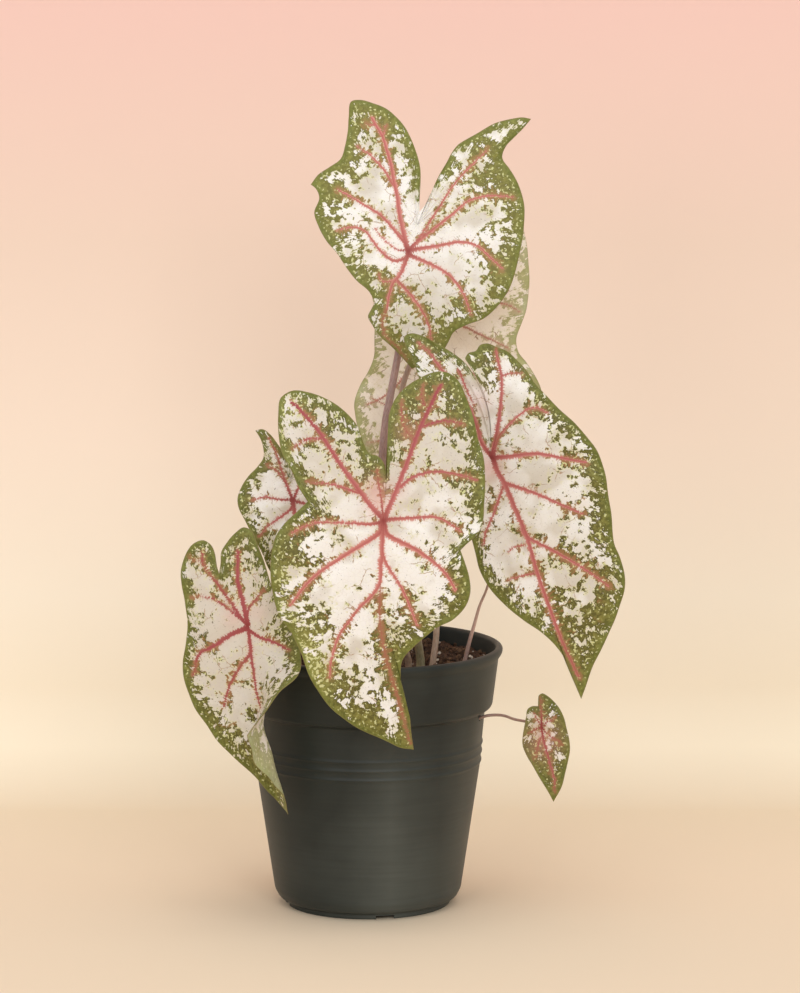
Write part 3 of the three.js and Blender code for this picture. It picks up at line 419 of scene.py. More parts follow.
# a blade's relief: how far off a vein or the margin each form reaches, and how high it is
QUILT_REACH = 6
QUILT_MARGIN = 7
SWELL_MARGIN = 10
RUFFLE_REACH = 6
RIB_HEIGHT = 0.55
RIB_LEAST = 0.2
THIN_SHARE = 0.55
THIN_REACH = 1.5

# petioles and the tuber that they grow from
HUB_STANDOFF = 8
HUB_GAP = 0.15
PETIOLE_STEP = 1.6
PETIOLE_SIDES = 28
NECK_SWELL = 0.35
NECK_REACH = 3.2
TUBER = {"x": 12, "y": -15, "z": 95, "rx": 42, "ry": 30, "rz": 20, "lump": 0.05}
SEAT_GAP = 1.4
FOOT_DRAW = 0.2

# outside of the pot from the foot ring to the crest of the rim: radius, height
POT_OUTSIDE = [
    (46, 0), (49, 0), (49, 3.2), (49.8, 3.4), (53, 4.8), (55.4, 9.5), (66.7, 85.2), (67.6, 86.5),
    (66.9, 87.8), (67.1, 90.7), (68, 92), (67.3, 93.3), (67.5, 96.1), (68.4, 97.4), (67.7, 98.7),
    (69.3, 115.6), (69.6, 117.5), (72.4, 118.4), (73.8, 120), (74.1, 122), (77.4, 147.8),
    (78.6, 149.4), (79.7, 151.3), (79.9, 153.1), (79, 154.5), (77.1, 155.1),
]
# inside of the pot from the rim down to the floor
POT_INSIDE = [
    (75.6, 154.2), (75.2, 151), (72.5, 122.6), (71.8, 120.6), (68.2, 119.2), (67.6, 116.5),
    (53.8, 9.8), (52.2, 6.3), (49.5, 4.8),
]
POT_ROUNDING = 1.3
POT_CREASE = 38
FLOOR_UNDER_Z = 2.2
FLOOR_TOP_Z = 4.2
PAD_RADIUS = 12
FOOT_INNER_RADIUS = 45
DRAIN_RADIUS = 4
DRAIN_CIRCLE = 32
DRAIN_COUNT = 4
NOTCH_WIDTH = 11
NOTCH_HEIGHT = 2.2
NOTCH_DEPTH = 12
NOTCH_RADIUS = 47.5
NOTCH_ANGLES = (12.3, 102.3, 192.3, 282.3)
BORE_GAP = 0.6
BORE_REACH = 6
WALL_RADIUS = 69.5

SOIL_Z = 144.6
SOIL_BUMP = 1.6
SOIL_RADIUS = 73.6
SOIL_SKIRT = 4
SOIL_RINGS = 92
SOIL_SEGMENTS = 300

# the stage, m
SPRAY_HEIGHT = 0.52
SWEEP_FRONT = -3.2
SWEEP_DEPTH = 0.25
SWEEP_BEND = 0.07
SWEEP_REACH = 1.6
CAMERA_X = 0.0191
LAMP_COLOUR = (1, 0.985, 0.97)
ROOM_LIGHT = 0.61
LAMPS = {
    "key": {"at": (0.6, -2.8, 1.5), "aim": (0, 0, 0.24), "size": 1.3},
    "fill": {"at": (-1.6, -2.5, 1.1), "aim": (0, 0, 0.25), "size": 1.8},
    "top": {"at": (0.1, -0.3, 2.0), "aim": (0, 0.1, 0.2), "size": 1.2},
}

# how the mottle gathers: towards the margin, and beside the veins, and its level elsewhere
EDGE_REACH = 11.5
EDGE_GAIN = 0.75
RIM_REACH = 2.0
RIM_GAIN = 0.14
FLANK_REACH = 3.6
FLANK_GAIN = 0.42
MOTTLE_LEVEL = 0.41

# loose crumbs of peat, bark and perlite: share, least and greatest size, least share of length
CRUMB_KINDS = ((0.66, 1.0, 3.2, 0.8), (0.22, 1.8, 5.5, 0.35), (0.12, 1.2, 2.8, 0.9))

# what each point of a blade stores for its skin
BLADE_FIELDS = (
    "margin_gap", "vein_side", "vein_gap", "vein_half", "vein_tone", "vein_run", "hub_gap",
    "lush", "creamy", "ruby", "pale", "spotty", "flush",
)

# the skin above and below: hex colours and shares
# cream: the white's own greyer tone, which the patches of painted shade also use
ABOVE = {
    "cream": "#CFC8BC", "crackle": 0.13, "line": "#B7A48F", "thread": "#A98E74", "specks": 0.7,
    "dark": "#463F1A", "light": "#A19F57", "margin": "#677532", "brown": "#906C43", "rim": "#8F7A52",
    # the veins' darker core line is also their painted groove shade
    "dot": "#C9CA93", "fringe": "#D8D5A6", "fringe_share": 0.6, "core_and_groove_shade": "#A95350",
    "bloom": "#D09186", "ruby": "#98444A", "rust": "#9C654A", "hub": "#863634", "blush_share": 0.2,
    "tip_share": 0.6,
}
BELOW = {
    **ABOVE,
    "white": "#FBF5EC", "cream": "#F5EDE1", "green": "#A9AB69", "dark": "#928D55",
    "light": "#C3C28B", "margin": "#9FB065", "brown": "#B3A37B", "dot": "#D9D6AC",
    "fringe": "#DAD6AC", "specks": 0.2, "vein": "#CE9186", "core_and_groove_shade": "#BE7C73", "bloom": "#E0B5A9",
    "rust": "#BF8F7C", "hub": "#A8705F", "ruby": "#B5877A", "tip_share": 0.25,
}
# petiole skins: colour at the ground, colour at the blade, colour of the streaks
STALKS = {
    "mauve": ("#A38783", "#A78A84", "#80655F"),
    "tan": ("#B7A18F", "#B69C90", "#927D6C"),
    "green_sheath": ("#B0A888", "#B59B8D", "#8B8663"),
    "rosy": ("#BFA39A", "#B9A59C", "#96796F"),
    "wiry": ("#94796B", "#9A7E75", "#735A4F"),
}


# ---------------------------------------------------------------- colour and shader nodes


def linear(code):
    """An sRGB hex colour as linear red, green, blue and alpha."""
    parts = [int(code[i : i + 2], 16) / 255 for i in (1, 3, 5)]
    return (*[c / 12.92 if c <= 0.04045 else ((c + 0.055) / 1.055) ** 2.4 for c in parts], 1.0)


MODES = {
    "Math": "operation", "VectorMath": "operation", "Mix": "data_type",
    "MapRange": "interpolation_type", "TexVoronoi": "feature",
}


def add(tree, kind, *values, stops=(), **named):
    """Adds a shader node. kind is its type, with a mode after a dot where it needs one, as in
    Math.ADD. values fill its inputs in order, and a node among them stands for its own first
    output. A name with a capital is an input, with _ for a space, and any other name is a
    setting. stops are a colour ramp's positions and colours."""
    kind, _, mode = kind.partition(".")
    node = tree.nodes.new("ShaderNode" + kind)
    if mode:
        setattr(node, MODES[kind], mode)
    given = {name: named.pop(name) for name in list(named) if name[0].isupper()}
    for name, value in named.items():
        setattr(node, name, value)
    shown = [s for s in node.inputs if s.enabled]
    pairs = list(zip(shown, values))
    for name, value in given.items():
        pairs.append((next(s for s in shown if s.name == name.replace("_", " ")), value))
    for target, value in pairs:
        if isinstance(value, bpy.types.Node):
            value = next(s for s in value.outputs if s.enabled)
        if isinstance(value, bpy.types.NodeSocket):
            tree.links.new(value, target)
        else:
            target.default_value = value
    for _ in stops[2:]:
        node.color_ramp.elements.new(0.5)
    for number, (position, colour) in enumerate(stops):
        node.color_ramp.elements[number].position = position
        node.color_ramp.elements[number].color = colour
    return node


def new_material(name):
    """An empty node material: returns it, the function that adds a node to it, and Object
    coordinates in millimetres."""
    material = bpy.data.materials.new(name)
    material.use_nodes = True
    material.node_tree.nodes.clear()
    node = partial(add, material.node_tree)
    return material, node, node("VectorMath.SCALE", node("TexCoord").outputs["Object"], Scale=1 / MM)


# ---------------------------------------------------------------- meshes from numpy arrays


def make_object(name, points, faces, materials, smooth=True):
    """A mesh object of points in millimetres and faces, a list of index arrays that each have
    3 or 4 columns. The object sits at the origin."""
    mesh = bpy.data.meshes.new(name)
    mesh.vertices.add(len(points))
    mesh.vertices.foreach_set("co", (np.asarray(points) * MM).astype(np.float32).ravel())
    loops = np.concatenate([f.ravel() for f in faces])
    totals = np.concatenate([np.full(len(f), f.shape[1]) for f in faces])
    mesh.loops.add(len(loops))
    mesh.loops.foreach_set("vertex_index", loops.astype(np.int32))
    mesh.polygons.add(len(totals))
    starts = np.concatenate([[0], np.cumsum(totals)[:-1]])
    mesh.polygons.foreach_set("loop_start", starts.astype(np.int32))
    mesh.polygons.foreach_set("use_smooth", np.full(len(totals), smooth))
    for material in materials:
        mesh.materials.append(material)
    mesh.update()
    mesh.validate()
    piece = bpy.data.objects.new(name, mesh)
    bpy.context.scene.collection.objects.link(piece)
    return piece


def set_attribute(piece, name, values):
    """Stores one number for each vertex."""
    layer = piece.data.attributes.new(name, "FLOAT", "POINT")
    layer.data.foreach_set("value", np.asarray(values, np.float32))


def set_uv(piece, name, pairs):
    """Stores a UV map from one pair for each face corner."""
    layer = piece.data.uv_layers.new(name=name)
    layer.uv.foreach_set("vector", np.asarray(pairs, np.float32).ravel())


def set_materials(piece, faces, numbers):
    """Gives each array of faces the material of its number."""
    index = np.concatenate([np.full(len(f), number) for f, number in zip(faces, numbers)])
    piece.data.polygons.foreach_set("material_index", index.astype(np.int32))


def grid_faces(rows, columns, first=0):
    """Quads of a grid whose last column meets its first one. Point i, j has the number
    first + i columns + j, and the corners go i j, i j+1, i+1 j+1, i+1 j."""
    i, j = np.divmod(np.arange((rows - 1) * columns), columns)
    near = first + i * columns
    turn = (j + 1) % columns
    return np.stack([near + j, near + turn, near + columns + turn, near + columns + j], -1)


def fan_faces(pole, first, columns):
    """Triangles from a pole to a closed row of points: pole, j, j+1."""
    j = np.arange(columns)
    return np.stack([np.full(columns, pole), first + j, first + (j + 1) % columns], -1)


def tube_faces(rows, sides):
    """Quads of a tube of rings, and a fan from each end to its pole. The two poles are the
    last points."""
    total = rows * sides
    first_cap = fan_faces(total, 0, sides)[:, [0, 2, 1]]
    return [grid_faces(rows, sides), first_cap, fan_faces(total + 1, total - sides, sides)]


def full_turn(sides):
    """Angles that divide a circle evenly."""
    return 2 * np.pi * np.arange(sides) / sides


def hoops(ahead, across, angle):
    """A unit circle square to each direction ahead: s cos a + o sin a, where s is the unit
    cross product of ahead and across, and o is the cross product of ahead and s."""
    side = np.cross(ahead, across)
    side /= np.linalg.norm(side, axis=1, keepdims=True)
    other = np.cross(ahead, side)
    return side[:, None] * np.cos(angle)[:, None] + other[:, None] * np.sin(angle)[:, None]


def cubic(t, start, leave, end, arrive):
    """The cubic Hermite curve: (2t^3 - 3t^2 + 1) start + (t^3 - 2t^2 + t) leave
    + (3t^2 - 2t^3) end + (t^3 - t^2) arrive."""
    rise = 3 * t**2 - 2 * t**3
    return (1 - rise) * start + (t**3 - 2 * t**2 + t) * leave + rise * end + (t**3 - t**2) * arrive


def hermite_loop(points, corners, spacing):
    """A closed smooth line through given points. Each span is a cubic Hermite curve whose tangents weigh the
    two chords at a point by the other's length, or take the own chord at a corner."""
    ahead = np.roll(points, -1, 0) - points
    length = np.linalg.norm(ahead, axis=1)
    chord = ahead / length[:, None]
    before = np.roll(chord, 1, 0)
    reach = np.roll(length, 1)
    blend = (before * length[:, None] + chord * reach[:, None]) / (length + reach)[:, None]
    leave = np.where(corners[:, None], chord, blend)
    arrive = np.roll(np.where(corners[:, None], before, blend), -1, 0)
    count = np.ceil(length / spacing).astype(int)
    span = np.repeat(np.arange(len(points)), count)
    start = np.concatenate([[0], np.cumsum(count)[:-1]])
    t = ((np.arange(count.sum()) - start[span]) / count[span])[:, None]
    d = length[span][:, None]
    return cubic(t, points[span], d * leave[span], np.roll(points, -1, 0)[span], d * arrive[span])


def catmull_rom(points, steps=16):
    """An open centripetal Catmull-Rom curve through points, its ends carried on straight.
    A span's knots are the square roots of the chords, and the span is the cubic with the
    tangents (b-a)/r - (c-a)/(r+s) + (c-b)/s, times s."""
    p = np.asarray(points, float)
    p = np.vstack([2 * p[0] - p[1], p, 2 * p[-1] - p[-2]])
    knot = np.sqrt(np.linalg.norm(np.diff(p, axis=0), axis=1))[:, None]
    a, b, c, d = p[:-3], p[1:-2], p[2:-1], p[3:]
    r, s, u = knot[:-2], knot[1:-1], knot[2:]
    leave = ((b - a) / r - (c - a) / (r + s) + (c - b) / s) * s
    arrive = ((c - b) / s - (d - b) / (s + u) + (d - c) / u) * s
    t = np.linspace(0, 1, steps, endpoint=False)[None, :, None]
    curve = cubic(t, *(q[:, None, :] for q in (b, leave, c, arrive)))
    return np.vstack([curve.reshape(-1, p.shape[1]), p[-2]])


def evenly(points, spacing):
    """The same line with its points the given spacing apart."""
    run = np.concatenate([[0], np.cumsum(np.linalg.norm(np.diff(points, axis=0), axis=1))])
    marks = np.linspace(0, run[-1], max(2, int(np.ceil(run[-1] / spacing)) + 1))
    return np.stack([np.interp(marks, run, column) for column in points.T], -1)


# ---------------------------------------------------------------- leaf blades


def depth(leaf, x, z):
    """How far the blade lies behind its hub: a lean and a square bow along and across the
    midrib, less a soft fold that is deepest at the midrib and fades towards the margin."""
    a = math.radians(leaf["turn"])
    along = x * np.sin(a) - z * np.cos(a)
    across = x * np.cos(a) + z * np.sin(a)
    crease = np.hypot(across, FOLD_SOFTNESS) - FOLD_SOFTNESS
    return (
        leaf["lean"][0] * across
        + leaf["lean"][1] * along
        + leaf["bow"][0] * across**2
        + np.where(along > 0, leaf["bow"][1], leaf["bow"][2]) * along**2
        - leaf["fold"] * crease * np.exp(-np.abs(across) / FOLD_REACH)
    )


def curled(curl, x, y, z):
    """Rolls what lies right of a slanted line forward over itself, on a cone whose angle and
    width change along the line; past the roll the sheet runs on straight."""
    a = math.radians(curl["turn"])
    dx = x - curl["at"][0]
    dz = z - curl["at"][1]
    along = dx * np.sin(a) - dz * np.cos(a)
    off = dx * np.cos(a) + dz * np.sin(a)
    share = np.clip((along - curl["start"]) / (curl["end"] - curl["start"]), 1e-4, 1)
    angle = math.radians(curl["most"]) * share
    width = curl["wide"] + (curl["narrow"] - curl["wide"]) * share
    radius = width / angle
    rolled = angle * np.clip(off / width, 0, 1)
    rest = np.maximum(off - width, 0)
    shift = np.where(off > 0, radius * np.sin(rolled) + rest * np.cos(angle) - off, 0)
    forward = np.where(off > 0, radius * (1 - np.cos(rolled)) + rest * np.sin(angle), 0)
    return x + shift * np.cos(a), y - forward, z + shift * np.sin(a)


def place(leaf, x, z, back=0.0):
    """The blade's middle surface at x, z from the hub, set back by some millimetres."""
    y = depth(leaf, x, z) + back
    if "curl" in leaf:
        x, y, z = curled(leaf["curl"], x, y, z)
    return np.stack(np.broadcast_arrays(x, y, z), -1) + leaf["hub"]


def facing(leaf, x, z, back=0.0):
    """The middle surface and its unit normals towards the front: the cross product of small
    steps in x and in z."""
    middle = place(leaf, x, z, back)
    cross = np.cross(place(leaf, x + NUDGE, z, back) - middle, place(leaf, x, z + NUDGE, back) - middle)
    return middle, cross / np.linalg.norm(cross, axis=-1, keepdims=True)


def sway(leaf, z):
    """How far rays above the pole lean over, growing as the square and cube of the rise."""
    square, cube = leaf.get("sway", (0, 0))
    rise = np.maximum(0, z - leaf["pole"][1])
    return square * rise**2 + cube * rise**3


def blade_rays(leaf, spacing):
    """The margin as rays from the leaf's pole: its line, the rays' angles and lengths, how far
    each is set back where the lobes lap, and the run along the margin."""
    rows = np.array([(*p, 0)[:3] for p in leaf["margin"]], float)
    line = hermite_loop(rows[:, :2], rows[:, 2] > 0, spacing)
    u = line[:, 0] + sway(leaf, line[:, 1]) - leaf["pole"][0]
    v = line[:, 1] - leaf["pole"][1]
    climb = MIN_STEP * np.arange(len(line))
    angle = np.maximum.accumulate(np.unwrap(np.arctan2(u, v)) - climb) + climb
    right, left = leaf.get("lap", (0, 0))
    past = (angle - angle[0]) / LAP_SPREAD
    ahead = (2 * np.pi - angle + angle[0]) / LAP_SPREAD
    back = right * np.exp(-(past**2)) + left * np.exp(-(ahead**2))
    arc = np.concatenate([[0], np.cumsum(np.linalg.norm(np.roll(line, -1, 0) - line, axis=1))])
    return line, angle, np.hypot(u, v), back, arc


def off_line(x, z, start, ahead):
    """From each point to each span of a line: the way across in x and z, and how far along
    the span its nearest point lies, from 0 to 1."""
    dx = x[:, None] - start[None, :, 0]
    dz = z[:, None] - start[None, :, 1]
    square = np.maximum((ahead**2).sum(1), 1e-9)
    t = np.clip((dx * ahead[:, 0] + dz * ahead[:, 1]) / square, 0, 1)
    return dx, dz, t, np.hypot(dx - t * ahead[:, 0], dz - t * ahead[:, 1])


def margin_distance(line, x, z):
    """The shortest way from each point to the closed margin line."""
    ahead = np.roll(line, -1, 0) - line
    nearest = np.full(x.shape, np.inf)
    for part in np.array_split(np.arange(len(line)), 8):
        nearest = np.minimum(nearest, off_line(x, z, line[part], ahead[part])[-1].min(1))
    return nearest


def vein_fields(leaf, x, z):
    """The vein whose edge is nearest to each point: signed distance to its middle line,
    plain distance, half its width there, how brown it is and the run along it from its start."""
    fields = np.zeros((5, len(x)))
    nearest = np.full(x.shape, np.inf)
    for wide, narrow, tone, points in leaf["veins"]:
        line = evenly(catmull_rom(points), VEIN_STEP)
        ahead = np.diff(line, axis=0)
        length = np.linalg.norm(ahead, axis=1)
        run = np.concatenate([[0], np.cumsum(length)])
        dx, dz, t, away = off_line(x, z, line[:-1], ahead)
        best = away.argmin(1)
        pick = np.arange(len(x)), best
        gap = away[pick]
        along = run[best] + t[pick] * length[best]
        half = (wide + (narrow - wide) * along / run[-1]) / 2
        turn = np.sign(ahead[best, 0] * dz[pick] - ahead[best, 1] * dx[pick])
        closer = gap - half < nearest
        nearest = np.where(closer, gap - half, nearest)
        fresh = np.stack([gap * turn, gap, half, np.full(len(x), tone), along])
        fields = np.where(closer, fresh, fields)
    return fields


def soft_patches(patches, x, z):
    """A sum of round soft patches, each strength exp(-(d/radius)^2)."""
    total = np.zeros(x.shape)
    for px, pz, radius, strength in patches:
        total += strength * np.exp(-((x - px) ** 2 + (z - pz) ** 2) / radius**2)
    return total


def flow_map(inward, radius, arc):
    """A pair for each face corner of a blade: the way to the margin along the ray, and the run
    along the margin. The faces are the front's quads and fan, the back's, and the rim's."""
    rows, count = inward.shape
    i, j = np.divmod(np.arange((rows - 1) * count), count)
    turn = (j + 1) % count
    ways = np.stack([inward[i, j], inward[i, turn], inward[i + 1, turn], inward[i + 1, j]], -1)
    quad = np.stack([ways, np.stack([arc[j], arc[j + 1], arc[j + 1], arc[j]], -1)], -1)
    here, there = arc[:-1], arc[1:]
    ways = np.stack([radius, inward[0], np.roll(inward[0], -1)], -1)
    spoke = np.stack([ways, np.stack([(here + there) / 2, here, there], -1)], -1)
    edge = np.stack([np.zeros((count, 4)), np.stack([here, there, there, here], -1)], -1)
    corners = [quad, spoke[:, [0, 2, 1]], quad[:, [0, 3, 2, 1]], spoke, edge]
    return np.concatenate([c.reshape(-1, 2) for c in corners]) / 100


def make_blade(leaf, upper, under, look):
    """A closed thin shell on rings about the leaf's pole: the middle surface, raised between
    the veins by q (1 - exp(-(d/6)^2)) where d is the way to the next vein, waved a little at
    the margin, and half the blade's thickness to each side of it. Each vein stands out below
    as a rib, a bell curve across it."""
    line, angle, radius, back, arc = blade_rays(leaf, look.spacing)
    count = len(angle)
    rings = max(LEAST_RINGS, int(np.percentile(radius, 85) / look.spacing))
    share = np.append(np.linspace(0, 1, rings + 1)[1:], 1.0)
    share[-2] = 1 - EDGE_RING / radius.mean()
    share = share[:, None]
    z = leaf["pole"][1] + share * radius * np.cos(angle)
    x = leaf["pole"][0] + share * radius * np.sin(angle) - sway(leaf, z)
    shift = back * (1 - np.exp(-((share * radius / LAP_RISE) ** 2)))
    x, z, shift = (np.append(first, q.ravel()) for first, q in zip((*leaf["pole"], 0), (x, z, shift)))
    margin = margin_distance(line, x, z)
    side, gap, half, tone, run = vein_fields(leaf, x, z)
    middle, normal = facing(leaf, x, z, shift)
    up = -1 if leaf.get("underside") else 1
    pillow = look.quilt * (1 - np.exp(-((gap / QUILT_REACH) ** 2))) * (1 - np.exp(-margin / QUILT_MARGIN))
    swell = 0.35 * np.sin(x / 5.1 + 1.3) * np.cos(z / 6.3) + 0.25 * np.sin(z / 3.9 - x / 7.7)
    phase = np.append(0, np.tile(arc[:-1], len(share)))
    ruffle = np.exp(-margin / RUFFLE_REACH) * (0.5 * np.sin(phase / 3.3) + 0.4 * np.sin(phase / 5.3 + 1))
    rise = up * (pillow + swell * (1 - np.exp(-margin / SWELL_MARGIN))) + ruffle
    sheet = middle + normal * rise[:, None]
    rib = RIB_HEIGHT * half * np.exp(-((gap / np.maximum(half, RIB_LEAST)) ** 2))
    thick = look.thickness / 2 * (1 - THIN_SHARE * np.exp(-margin / THIN_REACH))
    front = thick + (rib if up < 0 else 0)
    behind = thick + (rib if up > 0 else 0)
    points = np.vstack([sheet + normal * front[:, None], sheet - normal * behind[:, None]])
    layer = len(x)
    quads = grid_faces(len(share), count, 1)
    fan = fan_faces(0, 1, count)
    outer = layer - count + np.arange(count)
    turn = np.roll(outer, -1)
    rim = np.stack([outer, turn, turn + layer, outer + layer], -1)
    faces = [quads, fan[:, [0, 2, 1]], quads[:, [0, 3, 2, 1]] + layer, fan + layer, rim]
    piece = make_object(leaf["name"] + "_blade_skin", points, faces, [upper, under])
    set_materials(piece, faces, [0, 0, 1, 1, 0] if up > 0 else [1, 1, 0, 0, 0])
    set_uv(piece, "flow", flow_map((1 - share) * radius, radius, arc))
    patches = {key: soft_patches(leaf.get(key, []), x, z) for key in ("lush", "creamy", "spotty", "flush")}
    ruby = np.clip(leaf.get("ruby", 0.2) + leaf.get("ripe", 0) * z, 0, 0.9)
    pale = np.full(layer, leaf.get("pale", 0))
    stored = (
        margin, side, gap, half, tone, run, np.hypot(x, z), patches["lush"], patches["creamy"], ruby,
        pale, patches["spotty"], patches["flush"],
    )
    for key, values in zip(BLADE_FIELDS, stored):
        set_attribute(piece, key, np.tile(values, 2))
    return piece


# ---------------------------------------------------------------- petioles


def tuber_foot(x, y):
    """Where a petiole that meets the ground at x, y leaves the top of the tuber."""
    x = x + (TUBER["x"] - x) * FOOT_DRAW
    y = y + (TUBER["y"] - y) * FOOT_DRAW
    u = (x - TUBER["x"]) / TUBER["rx"]
    v = (y - TUBER["y"]) / TUBER["ry"]
    rise = TUBER["rz"] * (1 + TUBER["lump"]) * math.sqrt(max(0, 1 - u * u - v * v))
    return x, y, TUBER["z"] + rise + SEAT_GAP


def petiole_line(leaf):
    """The petiole's middle line, from the tuber through the ground to the back of the hub."""
    stalk = leaf["petiole"]
    ground = np.array(stalk["path"][0], float)
    first = np.array(stalk.get("foot") or tuber_foot(*ground[:2]), float)
    hub, normal = facing(leaf, np.zeros(1), np.zeros(1))
    away = normal[0] if leaf.get("underside") else -normal[0]
    ends = [hub[0] + away * stalk.get("standoff", HUB_STANDOFF), hub[0] + away * HUB_GAP]
    return evenly(catmull_rom([first, (first + ground) / 2, *stalk["path"], *ends]), PETIOLE_STEP)


def make_petiole(leaf, material):
    """A round stalk: a circle of a changing radius carried along the petiole's line, a little
    lumpy, swollen where it enters the blade, and closed by a point at each end."""
    line = petiole_line(leaf)
    count, sides = len(line), PETIOLE_SIDES
    ahead = np.gradient(line, axis=0)
    ahead /= np.linalg.norm(ahead, axis=1, keepdims=True)
    # the circles start from the axis or diagonal that the line turns towards least
    axes = np.vstack([np.eye(3), [[0.7, 0.7, 0], [0, 0.7, 0.7], [0.7, 0, 0.7], [0.7, -0.7, 0]]])
    across = axes[np.abs(ahead @ axes.T).max(0).argmin()]
    share = np.linspace(0, 1, count)
    run = share * np.linalg.norm(np.diff(line, axis=0), axis=1).sum()
    left = run[-1] - run
    radius = np.interp(share, [0, 0.5, 1], leaf["petiole"]["radii"])
    radius = radius * (1 + NECK_SWELL * np.exp(-((left / NECK_REACH) ** 2)))
    angle = full_turn(sides)
    lump = 1 + 0.03 * np.sin(3 * angle + run[:, None] / 23) + 0.02 * np.sin(5 * angle - run[:, None] / 11)
    skin = line[:, None] + hoops(ahead, across, angle) * (radius[:, None] * lump)[..., None]
    points = np.vstack([skin.reshape(-1, 3), line[0], line[-1]])
    piece = make_object(leaf["name"] + "_petiole_skin", points, tube_faces(count, sides), [material])
    set_attribute(piece, "stalk_left", np.append(np.repeat(left, sides), [run[-1], 0]))
    i, j = np.divmod(np.arange((count - 1) * sides), sides)
    turns = np.stack([j, j + 1, j + 1, j], -1) / sides
    runs = np.stack([run[i], run[i], run[i + 1], run[i + 1]], -1) / 100
    caps = np.zeros((2 * sides * 3, 2))
    set_uv(piece, "bark", np.vstack([np.stack([turns, runs], -1).reshape(-1, 2), caps]))
    return piece


# ---------------------------------------------------------------- pot and soil


def rounded(profile, reach, steps=5):
    """A profile with each inner corner p replaced by the quadratic curve from a point before
    it over p to a point after it, no further than reach or 0.45 of the next span away."""
    p = np.asarray(profile, float)
    corner = p[1:-1]
    before = p[:-2] - corner
    after = p[2:] - corner
    lb = np.linalg.norm(before, axis=1, keepdims=True)
    la = np.linalg.norm(after, axis=1, keepdims=True)
    start = corner + before / lb * np.minimum(reach, 0.45 * lb)
    end = corner + after / la * np.minimum(reach, 0.45 * la)
    t = np.linspace(0, 1, steps)[None, :, None]
    curve = (1 - t) ** 2 * start[:, None] + 2 * t * (1 - t) * corner[:, None] + t**2 * end[:, None]
    return np.vstack([p[:1], curve.reshape(-1, 2), p[-1:]])


def lathe(name, profile, segments, materials, lift=None):
    """A closed surface of revolution about Z of a profile of radius, height that starts and
    ends on the axis; lift may change the points."""
    profile = np.asarray(profile, float)
    angle = full_turn(segments)
    radius, height = profile[1:-1, :1], profile[1:-1, 1:]
    ring = np.stack([radius * np.cos(angle), radius * np.sin(angle), np.repeat(height, segments, 1)], -1)
    points = np.vstack([ring.reshape(-1, 3), [0, 0, profile[0, 1]], [0, 0, profile[-1, 1]]])
    if lift:
        points = lift(points)
    return make_object(name, points, tube_faces(len(radius), segments), materials)


def cut_away(piece, cutters):
    """Takes the cutters out of the piece by exact booleans, and then removes them."""
    for cutter in cutters:
        modifier = piece.modifiers.new("cut", "BOOLEAN")
        modifier.operation = "DIFFERENCE"
        modifier.solver = "EXACT"
        modifier.object = cutter
    graph = bpy.context.evaluated_depsgraph_get()
    mesh = bpy.data.meshes.new_from_object(piece.evaluated_get(graph))
    piece.modifiers.clear()
    old = piece.data
    piece.data = mesh
    bpy.data.meshes.remove(old)
    for cutter in cutters:
        data = cutter.data
        bpy.data.objects.remove(cutter)
        bpy.data.meshes.remove(data)


def rod(name, start, end, radius, sides=24):
    """A plain closed cylinder between two points, used to cut holes."""
    start, end = np.array(start, float), np.array(end, float)
    ahead = (end - start) / np.linalg.norm(end - start)
    across = [0, 1, 0] if abs(ahead[1]) < 0.9 else [1, 0, 0]
    ring = radius * hoops(ahead[None], across, full_turn(sides))[0]
    points = np.vstack([start + ring, end + ring, start, end])
    return make_object(name, points, tube_faces(2, sides), [], smooth=False)


def block(name, low, high, degrees):
    """A plain box turned about Z, used to cut slots."""
    a = math.radians(degrees)
    corners = np.array([(x, y, z) for x in (0, 1) for y in (0, 1) for z in (0, 1)])
    points = np.array(low) + corners * (np.array(high) - np.array(low))
    points = points @ np.array([[math.cos(a), math.sin(a), 0], [-math.sin(a), math.cos(a), 0], [0, 0, 1]])
    quads = np.array([(0, 1, 3, 2), (4, 6, 7, 5), (0, 4, 5, 1), (2, 3, 7, 6), (0, 2, 6, 4), (1, 5, 7, 3)])
    return make_object(name, points, [quads], [], smooth=False)


def soil_height(x, y):
    """The ground's height: three crossed waves on a level, as the soil solid has them."""
    return SOIL_Z + SOIL_BUMP * (
        0.45 * np.sin(0.21 * x + 0.9) * np.cos(0.17 * y - 0.4)
        + 0.35 * np.sin(0.13 * x - 0.29 * y)
        + 0.2 * np.cos(0.41 * x + 0.33 * y + 1.1)
    )


def clods(x, y):
    """Fine lumps on the ground: products of shorter waves, folded so that they look heaped."""
    fine = np.abs(np.sin(0.9 * x + 1.7 * np.sin(0.31 * y))) * np.abs(np.cos(1.1 * y + 1.3 * np.sin(0.4 * x)))
    finer = np.abs(np.sin(2.3 * x - 1.1 * y)) * np.abs(np.sin(1.9 * y + 0.8 * x))
    return 1.1 * fine + 0.6 * finer


def soil_surface(points):
    """Lays the soil's top on the ground and its clods, and its underside on a level below."""
    x, y, z = points.T
    ground = soil_height(x, y)
    return np.stack([x, y, np.where(z < SOIL_Z - 1, ground - SOIL_SKIRT, ground + clods(x, y) - 0.3)], -1)


